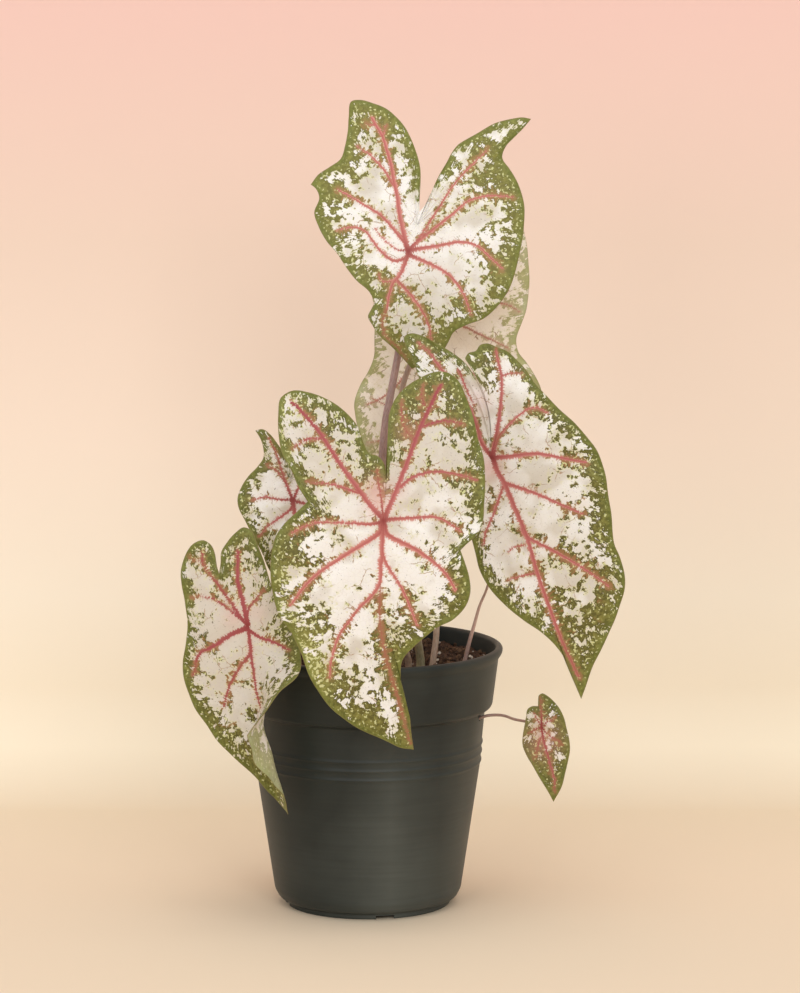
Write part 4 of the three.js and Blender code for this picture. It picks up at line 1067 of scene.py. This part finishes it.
def crumbs(rng, count, low, high, stretch):
    """Points and faces of many small stones on the ground: an icosahedron for each, stretched,
    turned at random and half sunk."""
    g = (1 + 5**0.5) / 2
    ball = np.array(
        [(-1, g, 0), (1, g, 0), (-1, -g, 0), (1, -g, 0), (0, -1, g), (0, 1, g),
         (0, -1, -g), (0, 1, -g), (g, 0, -1), (g, 0, 1), (-g, 0, -1), (-g, 0, 1)]
    ) / math.hypot(1, g)
    facets = np.array(
        [(0, 11, 5), (0, 5, 1), (0, 1, 7), (0, 7, 10), (0, 10, 11), (1, 5, 9), (5, 11, 4),
         (11, 10, 2), (10, 7, 6), (7, 1, 8), (3, 9, 4), (3, 4, 2), (3, 2, 6), (3, 6, 8),
         (3, 8, 9), (4, 9, 5), (2, 4, 11), (6, 2, 10), (8, 6, 7), (9, 8, 1)]
    )
    size = rng.uniform(low, high, (count, 1, 1)) / 2
    shape = ball * rng.uniform(0.75, 1.2, (count, 12, 1))
    shape = shape * rng.uniform((stretch, 0.6, 0.5), (1, 1, 1), (count, 1, 3))
    turn = np.linalg.qr(rng.normal(size=(count, 3, 3)))[0]
    turn *= np.sign(np.linalg.det(turn))[:, None, None]
    radius = (SOIL_RADIUS - 2) * np.sqrt(rng.uniform(0, 1, count))
    angle = rng.uniform(0, 2 * np.pi, count)
    x, y = radius * np.cos(angle), radius * np.sin(angle)
    lift = soil_height(x, y) + clods(x, y) + size[:, 0, 0] * rng.uniform(0.1, 0.7, count)
    points = (shape * size) @ turn + np.stack([x, y, lift], -1)[:, None]
    faces = facets[None] + 12 * np.arange(count)[:, None, None]
    return points.reshape(-1, 3), faces.reshape(-1, 3)


# ---------------------------------------------------------------- materials


def leaf_skin(name, tints, strength, raised):
    """Living leaf skin, grown: a waxy cuticle over cells. It gives a soft satin sheen, cream
    panels between pink veins, and an olive mottle of torn flakes that closes up towards the
    margin and along the outer veins. Lengths are millimetres: clumps of the mottle are about
    9, its patches 4.4, its flakes 1.4, the streaks at the margin 6.5 by 2.4 and 3 by 1, and
    those that stand off the veins 5 by 1.6."""
    material, node, spot = new_material(name)
    margin, side, gap, half, rust, run, hub, lush, painted_light_and_shade, ruby, pale, spotty, flush = (
        node("Attribute", attribute_name=key).outputs["Fac"] for key in BLADE_FIELDS
    )
    flow = node("SeparateXYZ", node("UVMap", uv_map="flow"))

    def fade(value, reach):
        """exp(-value / reach)"""
        return node("Math.EXPONENT", node("Math.MULTIPLY", value, -1 / reach))

    def within(value, low, high):
        """1 below low, falling smoothly to 0 at high."""
        return node("Math.SUBTRACT", 1.0, node("MapRange.SMOOTHSTEP", value, low, high))

    # noises on the leaf: size of their lumps, detail, shift, roughness
    noises = {}
    for key, (size, detail, shift, roughness) in {
        "clump": (9.0, 1.0, 0.0, 0.5), "patch": (4.4, 4.0, 20.0, 0.56), "shake": (1.8, 1.0, 5.0, 0.5),
        "tone": (14.0, 1.0, 60.0, 0.5), "speck": (0.9, 1.0, 11.0, 0.5), "shade": (2.4, 2.0, 31.0, 0.5),
        "dot": (1.7, 1.6, 40.0, 0.5),
    }.items():
        moved = node("VectorMath.ADD", spot, (shift, shift, shift))
        noises[key] = node("TexNoise", moved, Scale=1 / size, Detail=detail, Roughness=roughness)
    clump, patch, tone = noises["clump"], noises["patch"], noises["tone"]

    # noises drawn out across the margin and off the veins: what runs which way, detail
    drawn = []
    for along, length, across, width, third, detail in (
        (flow.outputs["X"], 6.5 / 100, flow.outputs["Y"], 2.4 / 100, 0.0, 2.0),
        (flow.outputs["X"], 3.0 / 100, flow.outputs["Y"], 1.0 / 100, 0.0, 1.0),
        (run, 1.6, side, 5.0, node("Math.MULTIPLY", rust, 30.0), 3.0),
        (run, 0.7, side, 2.6, 0.0, 1.0),
    ):
        x = node("Math.DIVIDE", along, length)
        y = node("Math.DIVIDE", across, width)
        drawn.append(node("TexNoise", node("CombineXYZ", x, y, third), Scale=1.0, Detail=detail))
    streak, sliver, stroke, comb = drawn
    shake = node("VectorMath.SCALE", noises["shake"].outputs["Color"], Scale=1.6)
    shaken = node("VectorMath.ADD", spot, shake)
    flake = node("TexVoronoi", shaken, Scale=1 / 1.4)
    torn = node("SeparateColor", flake.outputs["Color"])

    # the mottle, where its field is above nought
    beside = node("Math.MAXIMUM", node("Math.SUBTRACT", gap, half), 0.0)
    outward = node("Math.DIVIDE", hub, node("Math.ADD", hub, margin))
    banded = node("MapRange.SMOOTHSTEP", lush, -0.75, -0.4)
    rim = node("Math.MULTIPLY", fade(margin, RIM_REACH), RIM_GAIN)
    broad = node("Math.MULTIPLY_ADD", fade(margin, EDGE_REACH), EDGE_GAIN, rim)
    reached = node("MapRange.SMOOTHSTEP", outward, 0.2, 0.75)
    flank = node("Math.MULTIPLY", fade(beside, FLANK_REACH), reached)
    field = node("Math.MULTIPLY_ADD", broad, banded, -MOTTLE_LEVEL)
    field = node("Math.MULTIPLY_ADD", flank, FLANK_GAIN, field)
    outer = fade(margin, 16.0)
    for noise, gain, share in (
        (clump, 0.8, None), (patch, 2.1, None), (streak, 1.2, outer), (sliver, 0.8, outer),
        (stroke, 1.3, fade(beside, 7.0)), (torn, 0.07, None),
    ):
        swing = node("Math.SUBTRACT", noise, 0.5)
        if share:
            swing = node("Math.MULTIPLY", swing, share)
        field = node("Math.MULTIPLY_ADD", swing, gain, field)
    field = node("Math.ADD", field, lush)
    covered = node("MapRange.SMOOTHSTEP", field, -0.025, 0.025)

    # cream panels with a faint crackle, broken hair-thin veins and a few dark specks. The white turns a greyer
    # cream at random, and in the listed patches as painted shade, with painted light where a patch's strength
    # is below nought.
    creamy = node("Math.ADD", node("MapRange.SMOOTHSTEP", tone, 0.4, 0.7), painted_light_and_shade)
    cream = node("Mix.RGBA", node("Math.MINIMUM", creamy, 1.0), tints["white"], tints["cream"])
    crackle = node("TexVoronoi.DISTANCE_TO_EDGE", shaken, Scale=1 / 3.2)
    lines = node("Math.MULTIPLY", within(crackle, 0.0, 0.06), tints["crackle"])
    cream = node("Mix.RGBA", lines, cream, tints["line"])
    thread = within(node("TexVoronoi.DISTANCE_TO_EDGE", shaken, Scale=1 / 11.0), 0.004, 0.026)
    thread = node("Math.MULTIPLY", thread, node("MapRange.SMOOTHSTEP", clump, 0.5, 0.6))
    cream = node("Mix.RGBA", thread, cream, tints["thread"])
    speck = node("MapRange.SMOOTHSTEP", noises["speck"], 0.7, 0.74)
    cream = node("Mix.RGBA", node("Math.MULTIPLY", speck, tints["specks"]), cream, tints["dark"])
    fringe = node("MapRange.SMOOTHSTEP", field, -0.22, -0.02)
    fringe = node("Math.MULTIPLY", fringe, node("MapRange.SMOOTHSTEP", tone, 0.35, 0.55))
    fringe = node("Math.MULTIPLY", fringe, tints["fringe_share"])
    ground = node("Mix.RGBA", fringe, cream, tints["fringe"])

    # olive flakes: browner beside the veins, spotted with pale dots at the margin
    shade = noises["shade"]
    thin = node("Math.MULTIPLY_ADD", node("Math.SUBTRACT", shade, 0.5), -1.6, field)
    thin = node("Math.MULTIPLY", within(thin, 0.0, 0.42), 0.85)
    deep = node("Math.MULTIPLY", node("MapRange.SMOOTHSTEP", shade, 0.52, 0.4), 0.6)
    olive = node("Mix.RGBA", node("Math.MAXIMUM", thin, deep), tints["green"], tints["dark"])
    light = node("Math.MULTIPLY", node("MapRange.SMOOTHSTEP", shade, 0.57, 0.65), 0.5)
    olive = node("Mix.RGBA", light, olive, tints["light"])
    edge = node("Math.MULTIPLY", fade(margin, 5.0), banded)
    rusty = node("Math.MULTIPLY_ADD", stroke, 1.6, -1.02)
    rusty = node("Math.MULTIPLY_ADD", fade(beside, 2.2), 0.6, rusty)
    rusty = node("Math.MULTIPLY_ADD", edge, -0.4, rusty)
    olive = node("Mix.RGBA", node("MapRange.SMOOTHSTEP", rusty, -0.06, 0.12), olive, tints["brown"])
    light = node("Math.MAXIMUM", pale, node("Math.MULTIPLY", spotty, 0.6))
    olive = node("Mix.RGBA", light, olive, tints["light"])
    band = node("Math.MULTIPLY", node("Math.MULTIPLY", fade(margin, 3.2), banded), 0.7)
    olive = node("Mix.RGBA", band, olive, tints["margin"])
    dots = node("MapRange.SMOOTHSTEP", node("Math.MULTIPLY_ADD", spotty, 0.12, noises["dot"]), 0.605, 0.65)
    dots = node("Math.MULTIPLY", dots, node("MapRange.SMOOTHSTEP", margin, 0.9, 2.6))
    olive = node("Mix.RGBA", dots, olive, tints["dot"])
    skin = node("Mix.RGBA", node("Math.MULTIPLY", covered, strength), ground, olive)
    hem = node("Math.MULTIPLY", fade(margin, 0.3), node("Math.MULTIPLY", banded, 0.7))
    skin = node("Mix.RGBA", hem, skin, tints["rim"])

    # veins: a darker core line set off to one side, the vein's own core with painted shade of its groove, in a
    # pink band with combed edges and rusty tips
    past = node("Math.MAXIMUM", node("Math.ABSOLUTE", side), gap)
    past = node("Math.SUBTRACT", past, half)
    ragged = node("Math.MULTIPLY_ADD", node("Math.SUBTRACT", comb, 0.48), -2.4, past)
    faded = node("Math.MULTIPLY_ADD", edge, 0.8, rust)
    faded = node("Math.MULTIPLY_ADD", node("Math.SUBTRACT", clump, 0.5), 0.9, faded)
    faded = node("MapRange.SMOOTHSTEP", faded, 0.2, 1.0)
    vein = within(node("Math.MULTIPLY_ADD", faded, 0.3, ragged), -0.15, 0.2)
    across = node("Math.DIVIDE", side, half)
    # the darker core line sits 0.3 of the half-width to one side of the middle: the vein's own darker core,
    # with painted shade of its groove
    line = node("Math.ABSOLUTE", node("Math.SUBTRACT", across, 0.3))
    line = fade(node("Math.POWER", line, 2.0), 0.16)
    bloom = node("MapRange.SMOOTHSTEP", node("Math.ABSOLUTE", across), 0.3, 1.1)
    band = node("Mix.RGBA", bloom, tints["vein"], tints["bloom"])
    band = node("Mix.RGBA", node("Math.MULTIPLY", line, 0.6), band, tints["core_and_groove_shade"])
    band = node("Mix.RGBA", ruby, band, tints["ruby"])
    band = node("Mix.RGBA", node("Math.MULTIPLY", faded, 0.85), band, tints["rust"])
    band = node("Mix.RGBA", fade(hub, 4.0), band, tints["hub"])
    blush = node("Math.MULTIPLY", fade(node("Math.MAXIMUM", past, 0.0), 1.1), tints["blush_share"])
    skin = node("Mix.RGBA", node("Math.MAXIMUM", blush, flush), skin, tints["bloom"])
    tips = within(node("Math.MULTIPLY_ADD", comb, -6.5, past), -3.3, -2.7)
    tips = node("Math.MULTIPLY", tips, node("MapRange.SMOOTHSTEP", outward, 0.08, 0.4))
    tips = node("Math.MULTIPLY", tips, tints["tip_share"])
    reached = node("MapRange.SMOOTHSTEP", outward, 0.2, 0.7)
    skin = node("Mix.RGBA", tips, skin, node("Mix.RGBA", reached, tints["bloom"], tints["rust"]))
    skin = node("Mix.RGBA", vein, skin, band)

    height = node("Math.MULTIPLY_ADD", vein, raised, node("Math.MULTIPLY_ADD", covered, 0.25, crackle))
    shader = node(
        "BsdfPrincipled", Base_Color=skin, Roughness=node("Math.MULTIPLY_ADD", tone, 0.14, 0.42), IOR=1.42,
        Normal=node("Bump", Strength=0.3, Distance=0.0003, Height=height), Specular_IOR_Level=0.3,
        Subsurface_Weight=0.1, Subsurface_Radius=(0.9, 1.0, 0.5), Subsurface_Scale=0.0006,
    )
    node("OutputMaterial", shader)
    return material


def stalk_skin(name, low, high, streaks):
    """Smooth petiole skin, grown: waxy and slightly glossy. Fine streaks about 0.4 mm wide run
    along it, and its colour changes from the ground up."""
    material, node, spot = new_material(name)
    bark = node("SeparateXYZ", node("UVMap", uv_map="bark"))
    around = node("Math.MULTIPLY", bark.outputs["X"], 2 * math.pi)
    along = node("Math.MULTIPLY", bark.outputs["Y"], 12.0)
    ring = node("CombineXYZ", node("Math.COSINE", around), node("Math.SINE", around), along)
    fine = node("TexNoise", ring, Scale=3.2, Detail=3.0)
    broad = node("TexNoise", spot, Scale=1 / 14.0, Detail=2.0)
    left = node("Attribute", attribute_name="stalk_left").outputs["Fac"]
    base = node("Mix.RGBA", node("MapRange", left, 120.0, 8.0), low, high)
    skin = node("Mix.RGBA", node("MapRange", fine, 0.46, 0.64, 0.0, 0.6), base, streaks)
    skin = node("VectorMath.SCALE", skin, Scale=node("MapRange", broad, 0.3, 0.7, 0.86, 1.1))
    shader = node(
        "BsdfPrincipled", Base_Color=skin, Roughness=0.42, Subsurface_Weight=0.08, Subsurface_Scale=0.001,
        Normal=node("Bump", Strength=0.3, Distance=0.0002, Height=fine),
    )
    node("OutputMaterial", shader)
    return material


def moulded_pot(name, colour, dust_and_highlight):
    """Injection-moulded polypropylene, dark and filled: half matt with a very fine spark-eroded grain of about
    0.6 mm and faint flow bands. A lighter veil lies over it in clouds of dust. It grows towards the foot,
    where it is dust, while the darker collar above is painted shade. It also runs in upright bands across the
    pot: a painted highlight right of the middle and at the right edge, and painted shade on the left."""
    material, node, spot = new_material(name)
    grain = node("TexNoise", spot, Scale=1 / 0.6, Detail=2.0)
    cloud = node("TexNoise", spot, Scale=1 / 34.0, Detail=4.0)
    squash = node("Mapping", spot, Scale=(1 / 45, 1 / 45, 1 / 2.2))
    bands = node("TexNoise", squash, Scale=1.0, Detail=2.0)
    axes = node("SeparateXYZ", spot)
    # painted highlight and painted shade across the pot: how much of the lighter colour it gets at nine places
    # from its left side to its right, least left of the middle where shade is painted, most in an upright
    # painted highlight right of the middle and at the bright right edge
    places = (0.04, 0.18, 0.28, 0.4, 0.5, 0.6, 0.7, 0.8, 0.9)
    shares = (0.35, 0, 0, 0.3, 0.62, 1, 0.75, 0.5, 0.85)
    stops = [(at, (share, share, share, 1)) for at, share in zip(places, shares)]
    across = node("ValToRGB", node("MapRange", axes.outputs["X"], -70.0, 70.0), stops=stops)
    across = node("Math.MULTIPLY_ADD", across, 0.8, -0.4)
    # lighter towards the foot, darker towards the collar: dust at the foot, and painted shade of the leaves
    # over the collar
    low = node("MapRange", axes.outputs["Z"], 125.0, 30.0, -0.1, 0.44)
    veil = node("MapRange", cloud, 0.4, 0.75, 0.0, 0.2)
    veil = node("Math.ADD", veil, node("Math.ADD", low, across), use_clamp=True)
    skin = node("Mix.RGBA", veil, colour, dust_and_highlight)
    skin = node("VectorMath.SCALE", skin, Scale=node("MapRange", bands, 0.3, 0.7, 0.93, 1.06))
    height = node("Math.MULTIPLY_ADD", bands, 0.4, grain)
    shader = node(
        "BsdfPrincipled", Base_Color=skin, Roughness=node("MapRange", cloud, 0.3, 0.7, 0.42, 0.55), IOR=1.49,
        Normal=node("Bump", Strength=0.12, Distance=0.0003, Height=height), Specular_IOR_Level=0.28,
    )
    node("OutputMaterial", shader)
    return material


def potting_mix(name, dark, light, size):
    """Damp peat and composted bark: fibrous and matt, mottled in lumps of a few millimetres."""
    material, node, spot = new_material(name)
    lumps = node("TexNoise", spot, Scale=1 / size, Detail=5.0, Roughness=0.65)
    fine = node("TexNoise", spot, Scale=1 / 0.7, Detail=3.0)
    skin = node("ValToRGB", lumps, stops=[(0.32, dark), (0.62, light)])
    skin = node("VectorMath.SCALE", skin, Scale=node("MapRange", fine, 0.3, 0.7, 0.6, 1.25))
    relief = node("Bump", Strength=0.8, Distance=0.0008, Height=fine)
    shader = node("BsdfPrincipled", Base_Color=skin, Roughness=0.9, Normal=relief, Specular_IOR_Level=0.25)
    node("OutputMaterial", shader)
    return material


def plain_paper(name, tones):
    """A seamless paper backdrop, matt, sprayed from a pale tone at the floor to a rosy top."""
    material, node, spot = new_material(name)
    height = node("SeparateXYZ", spot).outputs["Z"]
    share = node("MapRange", height, 0.0, SPRAY_HEIGHT / MM)
    skin = node("ValToRGB", share, stops=list(zip((0, 0.06, 0.25, 0.45, 0.7, 1), tones)))
    shader = node("BsdfPrincipled", Base_Color=skin, Roughness=0.85, Specular_IOR_Level=0.2)
    node("OutputMaterial", shader)
    return material


# ---------------------------------------------------------------- settings


def swatch(name, description, code):
    """A colour that the user can change, with its hex default."""
    return FloatVectorProperty(
        name=name, description=description, subtype="COLOR", size=4, default=linear(code), min=0, max=1,
    )


class CaladiumPot(PropertyGroup):
    colour: swatch("Plastic", "Colour of the pot's plastic", "#252A27")
    # the pot's lighter colour: its dust, and also its painted highlight
    dust_and_highlight: swatch("Dust", "Colour of the veil of dust on it", "#50544F")
    segments: IntProperty(name="Segments", description="Facets round the pot", default=224, min=48, max=512)


class CaladiumLeaves(PropertyGroup):
    thickness: FloatProperty(
        name="Thickness", description="Thickness of a blade, mm", default=0.5, min=0.2, max=0.8,
    )
    quilt: FloatProperty(
        name="Quilting", description="Rise of the blade between veins, mm", default=1.2, min=0, max=2,
    )
    spacing: FloatProperty(
        name="Spacing", description="Size of a blade's facets, mm", default=1.35, min=0.8, max=6,
    )
    green: swatch("Green", "Colour of the mottle", "#7D783D")
    white: swatch("White", "Colour between the veins", "#EBE9E5")
    vein: swatch("Vein", "Colour of the veins", "#C17870")


class CaladiumSoil(PropertyGroup):
    crumbs: IntProperty(
        name="Crumbs", description="Loose crumbs on the ground", default=1500, min=0, max=4000,
    )
    seed: IntProperty(name="Seed", description="Which scatter of crumbs is drawn", default=7, min=0)
    dark: swatch("Dark", "Darkest colour of the soil", "#1D1510")
    light: swatch("Light", "Lightest colour of the soil", "#5A4334")


class CaladiumStage(PropertyGroup):
    floor: swatch("Floor", "Colour of the floor", "#EADAC1")
    wall: swatch("Wall", "Colour of the backdrop's top", "#EDC8BE")
    distance: FloatProperty(
        name="Distance", description="From the camera to the plant", default=2.714, unit="LENGTH",
    )
    height: FloatProperty(name="Height", description="Height of the camera", default=0.643, unit="LENGTH")
    tilt: FloatProperty(
        name="Tilt", description="How far the camera looks down", default=0.1462, subtype="ANGLE",
    )
    lens: FloatProperty(name="Lens", description="Focal length, mm", default=209.8)
    key: FloatProperty(
        name="Key light", description="Power of the big soft light", default=24.0, unit="POWER",
    )
    fill: FloatProperty(name="Fill light", description="Power of the fill", default=20.0, unit="POWER")
    top: FloatProperty(name="Top light", description="Power of the light above", default=8.0, unit="POWER")


# ---------------------------------------------------------------- operators


class CALADIUM_OT_stage(Operator):
    """Sets up the pale seamless floor, the soft lights and the camera"""

    bl_idname = "caladium.stage"
    bl_label = "Stage"

    def execute(self, context):
        look = context.scene.caladium_stage
        tones = [look.floor, *map(linear, ("#F8ECD5", "#F7EDDC", "#F5E4D4", "#EDD6C6")), look.wall]
        # the sweep: flat, then a quarter round, then upright
        turn = np.linspace(0, np.pi / 2, 24)
        bend = np.stack([SWEEP_DEPTH + SWEEP_BEND * np.sin(turn), SWEEP_BEND * (1 - np.cos(turn))], -1)
        rows = np.vstack([[(SWEEP_FRONT, 0)], bend, [(SWEEP_DEPTH + SWEEP_BEND, SWEEP_REACH)]])
        sides = np.tile([-SWEEP_REACH, SWEEP_REACH], len(rows))
        points = np.column_stack([sides, np.repeat(rows, 2, axis=0)]) / MM
        i = 2 * np.arange(len(rows) - 1)
        quads = np.stack([i, i + 1, i + 3, i + 2], -1)
        sweep = make_object("backdrop", points, [quads], [plain_paper("backdrop paper", tones)])
        for name, lamp in LAMPS.items():
            self.light(name, lamp, getattr(look, name))
        world = bpy.data.worlds.new("studio")
        world.use_nodes = True
        background = world.node_tree.nodes["Background"]
        background.inputs["Color"].default_value = linear("#FFFCFA")
        background.inputs["Strength"].default_value = ROOM_LIGHT
        context.scene.world = world
        context.scene.view_settings.view_transform = "Standard"
        data = bpy.data.cameras.new("camera")
        data.sensor_fit = "HORIZONTAL"
        data.sensor_width = 36
        data.lens = look.lens
        camera = bpy.data.objects.new("camera", data)
        camera.location = (CAMERA_X, -look.distance, look.height)
        camera.rotation_euler = (math.pi / 2 - look.tilt, 0, 0)
        context.scene.collection.objects.link(camera)
        context.scene.camera = camera
        return {"FINISHED"}

    def light(self, name, lamp, power):
        """A square soft light that looks at a point."""
        data = bpy.data.lights.new(name, "AREA")
        data.size = lamp["size"]
        data.energy = power
        data.color = LAMP_COLOUR
        body = bpy.data.objects.new(name, data)
        x, y, z = np.array(lamp["aim"], float) - lamp["at"]
        body.location = lamp["at"]
        body.rotation_euler = (math.pi / 2 + math.atan2(z, math.hypot(x, y)), 0, math.atan2(-x, y))
        bpy.context.scene.collection.objects.link(body)


class CALADIUM_OT_pot(Operator):
    """Turns the pot with its rolled rim, collar, beads, drains and foot slots"""

    bl_idname = "caladium.pot"
    bl_label = "Pot"

    def execute(self, context):
        look = context.scene.caladium_pot
        under = [(0, 0), (PAD_RADIUS, 0), (PAD_RADIUS + 1, FLOOR_UNDER_Z), (FOOT_INNER_RADIUS, FLOOR_UNDER_Z)]
        floor = [(PAD_RADIUS, FLOOR_TOP_Z), (0, FLOOR_TOP_Z)]
        profile = rounded([*under, *POT_OUTSIDE, *POT_INSIDE, *floor], POT_ROUNDING)
        material = moulded_pot("moulded polypropylene", look.colour, look.dust_and_highlight)
        pot = lathe("pot_wall", profile, look.segments, [material])
        cutters = []
        for i in range(DRAIN_COUNT):
            a = 2 * math.pi * (i + 0.5) / DRAIN_COUNT
            x, y = DRAIN_CIRCLE * math.cos(a), DRAIN_CIRCLE * math.sin(a)
            cutters.append(rod(f"drain_{i}", (x, y, -5), (x, y, 10), DRAIN_RADIUS, 48))
        for i, degrees in enumerate(NOTCH_ANGLES):
            low = (NOTCH_RADIUS - NOTCH_DEPTH / 2, -NOTCH_WIDTH / 2, -NOTCH_HEIGHT)
            high = (NOTCH_RADIUS + NOTCH_DEPTH / 2, NOTCH_WIDTH / 2, NOTCH_HEIGHT)
            cutters.append(block(f"slot_{i}", low, high, degrees - 90))
        # the bore that the small leaf's petiole comes out through
        small = next(leaf for leaf in LEAVES if "foot" in leaf["petiole"])
        line = petiole_line(small)
        crossing = int(np.argmin(np.abs(np.linalg.norm(line[:, :2], axis=1) - WALL_RADIUS)))
        ahead = line[crossing + 2] - line[crossing - 2]
        ahead *= BORE_REACH / np.linalg.norm(ahead)
        bore = small["petiole"]["radii"][0] + BORE_GAP
        cutters.append(rod("bore", line[crossing] - ahead, line[crossing] + ahead, bore))
        cut_away(pot, cutters)
        pot.data.set_sharp_from_angle(angle=math.radians(POT_CREASE))
        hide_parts("pot")
        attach(pot, BODY)
        return {"FINISHED"}


class CALADIUM_OT_soil(Operator):
    """Fills the pot: the soil's body, its crumbly top, loose crumbs and white grit"""

    bl_idname = "caladium.soil"
    bl_label = "Soil"

    def execute(self, context):
        look = context.scene.caladium_soil
        mix = potting_mix("damp potting mix", look.dark, look.light, 5.0)
        grit = potting_mix("expanded perlite", linear("#B9AF9F"), linear("#E9E2D6"), 1.6)
        bark = potting_mix("composted bark", linear("#33251D"), linear("#6F5641"), 3.0)
        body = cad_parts["soil"]
        body.data.materials.clear()
        body.data.materials.append(mix)
        low = SOIL_Z - SOIL_SKIRT
        rings = [(radius, SOIL_Z) for radius in np.linspace(0, SOIL_RADIUS, SOIL_RINGS)]
        profile = [(0, low), (SOIL_RADIUS, low), *reversed(rings)]
        top = lathe("soil_top", profile, SOIL_SEGMENTS, [mix], soil_surface)
        rng = np.random.default_rng(look.seed)
        points, faces, total = [], [], 0
        for share, low, high, stretch in CRUMB_KINDS:
            p, f = crumbs(rng, int(look.crumbs * share), low, high, stretch)
            points.append(p)
            faces.append(f + total)
            total += len(p)
        loose = make_object("soil_crumbs", np.vstack(points), faces, [mix, bark, grit], smooth=False)
        set_materials(loose, faces, range(len(faces)))
        for piece in (top, loose):
            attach(piece, BODY)
        return {"FINISHED"}


class CALADIUM_OT_tuber(Operator):
    """Gives the hidden tuber its corky skin"""

    bl_idname = "caladium.tuber"
    bl_label = "Tuber"

    def execute(self, context):
        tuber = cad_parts["tuber"]
        tuber.data.materials.clear()
        skin = potting_mix("corky tuber skin", linear("#4A3222"), linear("#8A6444"), 4.0)
        tuber.data.materials.append(skin)
        return {"FINISHED"}


class CALADIUM_OT_petioles(Operator):
    """Grows the seven petioles from the tuber to the hubs of the leaves"""

    bl_idname = "caladium.petioles"
    bl_label = "Petioles"

    def execute(self, context):
        skins = {
            name: stalk_skin(f"petiole skin {name.replace('_', ' ')}", *map(linear, codes))
            for name, codes in STALKS.items()
        }
        for leaf in LEAVES:
            petiole = make_petiole(leaf, skins[leaf["petiole"]["skin"]])
            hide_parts(leaf["name"] + "_petiole")
            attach(petiole, BODY)
        return {"FINISHED"}


class CALADIUM_OT_blades(Operator):
    """Spreads the seven blades with their veins and mottle"""

    bl_idname = "caladium.blades"
    bl_label = "Blades"

    def execute(self, context):
        look = context.scene.caladium_leaves
        chosen = {"white": look.white, "green": look.green, "vein": look.vein}
        above, below = (
            {key: linear(tint) if isinstance(tint, str) else tint for key, tint in {**chosen, **tints}.items()}
            for tints in (ABOVE, BELOW)
        )
        upper = leaf_skin("leaf skin upper", above, 1.0, -0.8)
        under = leaf_skin("leaf skin under", below, 0.75, 1.5)
        for leaf in LEAVES:
            blade = make_blade(leaf, upper, under, look)
            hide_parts(leaf["name"] + "_blade")
            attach(blade, BODY)
        return {"FINISHED"}


class CALADIUM_PT_panel(Panel):
    """Lists the plant's pieces and their settings"""

    bl_idname = "CALADIUM_PT_panel"
    bl_label = "Potted Caladium"
    bl_space_type = "VIEW_3D"
    bl_region_type = "UI"
    bl_category = "Caladium"

    def draw(self, context):
        layout = self.layout
        for operator in OPERATORS:
            layout.operator(operator.bl_idname)
        for name, group in SETTINGS.items():
            box = layout.box()
            for key in group.__annotations__:
                box.prop(getattr(context.scene, name), key)


OPERATORS = [
    CALADIUM_OT_stage, CALADIUM_OT_pot, CALADIUM_OT_soil, CALADIUM_OT_tuber,
    CALADIUM_OT_petioles, CALADIUM_OT_blades,
]
SETTINGS = {
    "caladium_pot": CaladiumPot, "caladium_leaves": CaladiumLeaves,
    "caladium_soil": CaladiumSoil, "caladium_stage": CaladiumStage,
}
CLASSES = [*SETTINGS.values(), *OPERATORS, CALADIUM_PT_panel]


def register():
    for cls in CLASSES:
        bpy.utils.register_class(cls)
    for name, group in SETTINGS.items():
        setattr(bpy.types.Scene, name, PointerProperty(type=group))


def unregister():
    for name in SETTINGS:
        delattr(bpy.types.Scene, name)
    for cls in reversed(CLASSES):
        bpy.utils.unregister_class(cls)


def main():
    """Registers the add-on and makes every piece."""
    register()
    for operator in OPERATORS:
        group, name = operator.bl_idname.split(".")
        getattr(getattr(bpy.ops, group), name)()


if __name__ == "__main__":
    main()
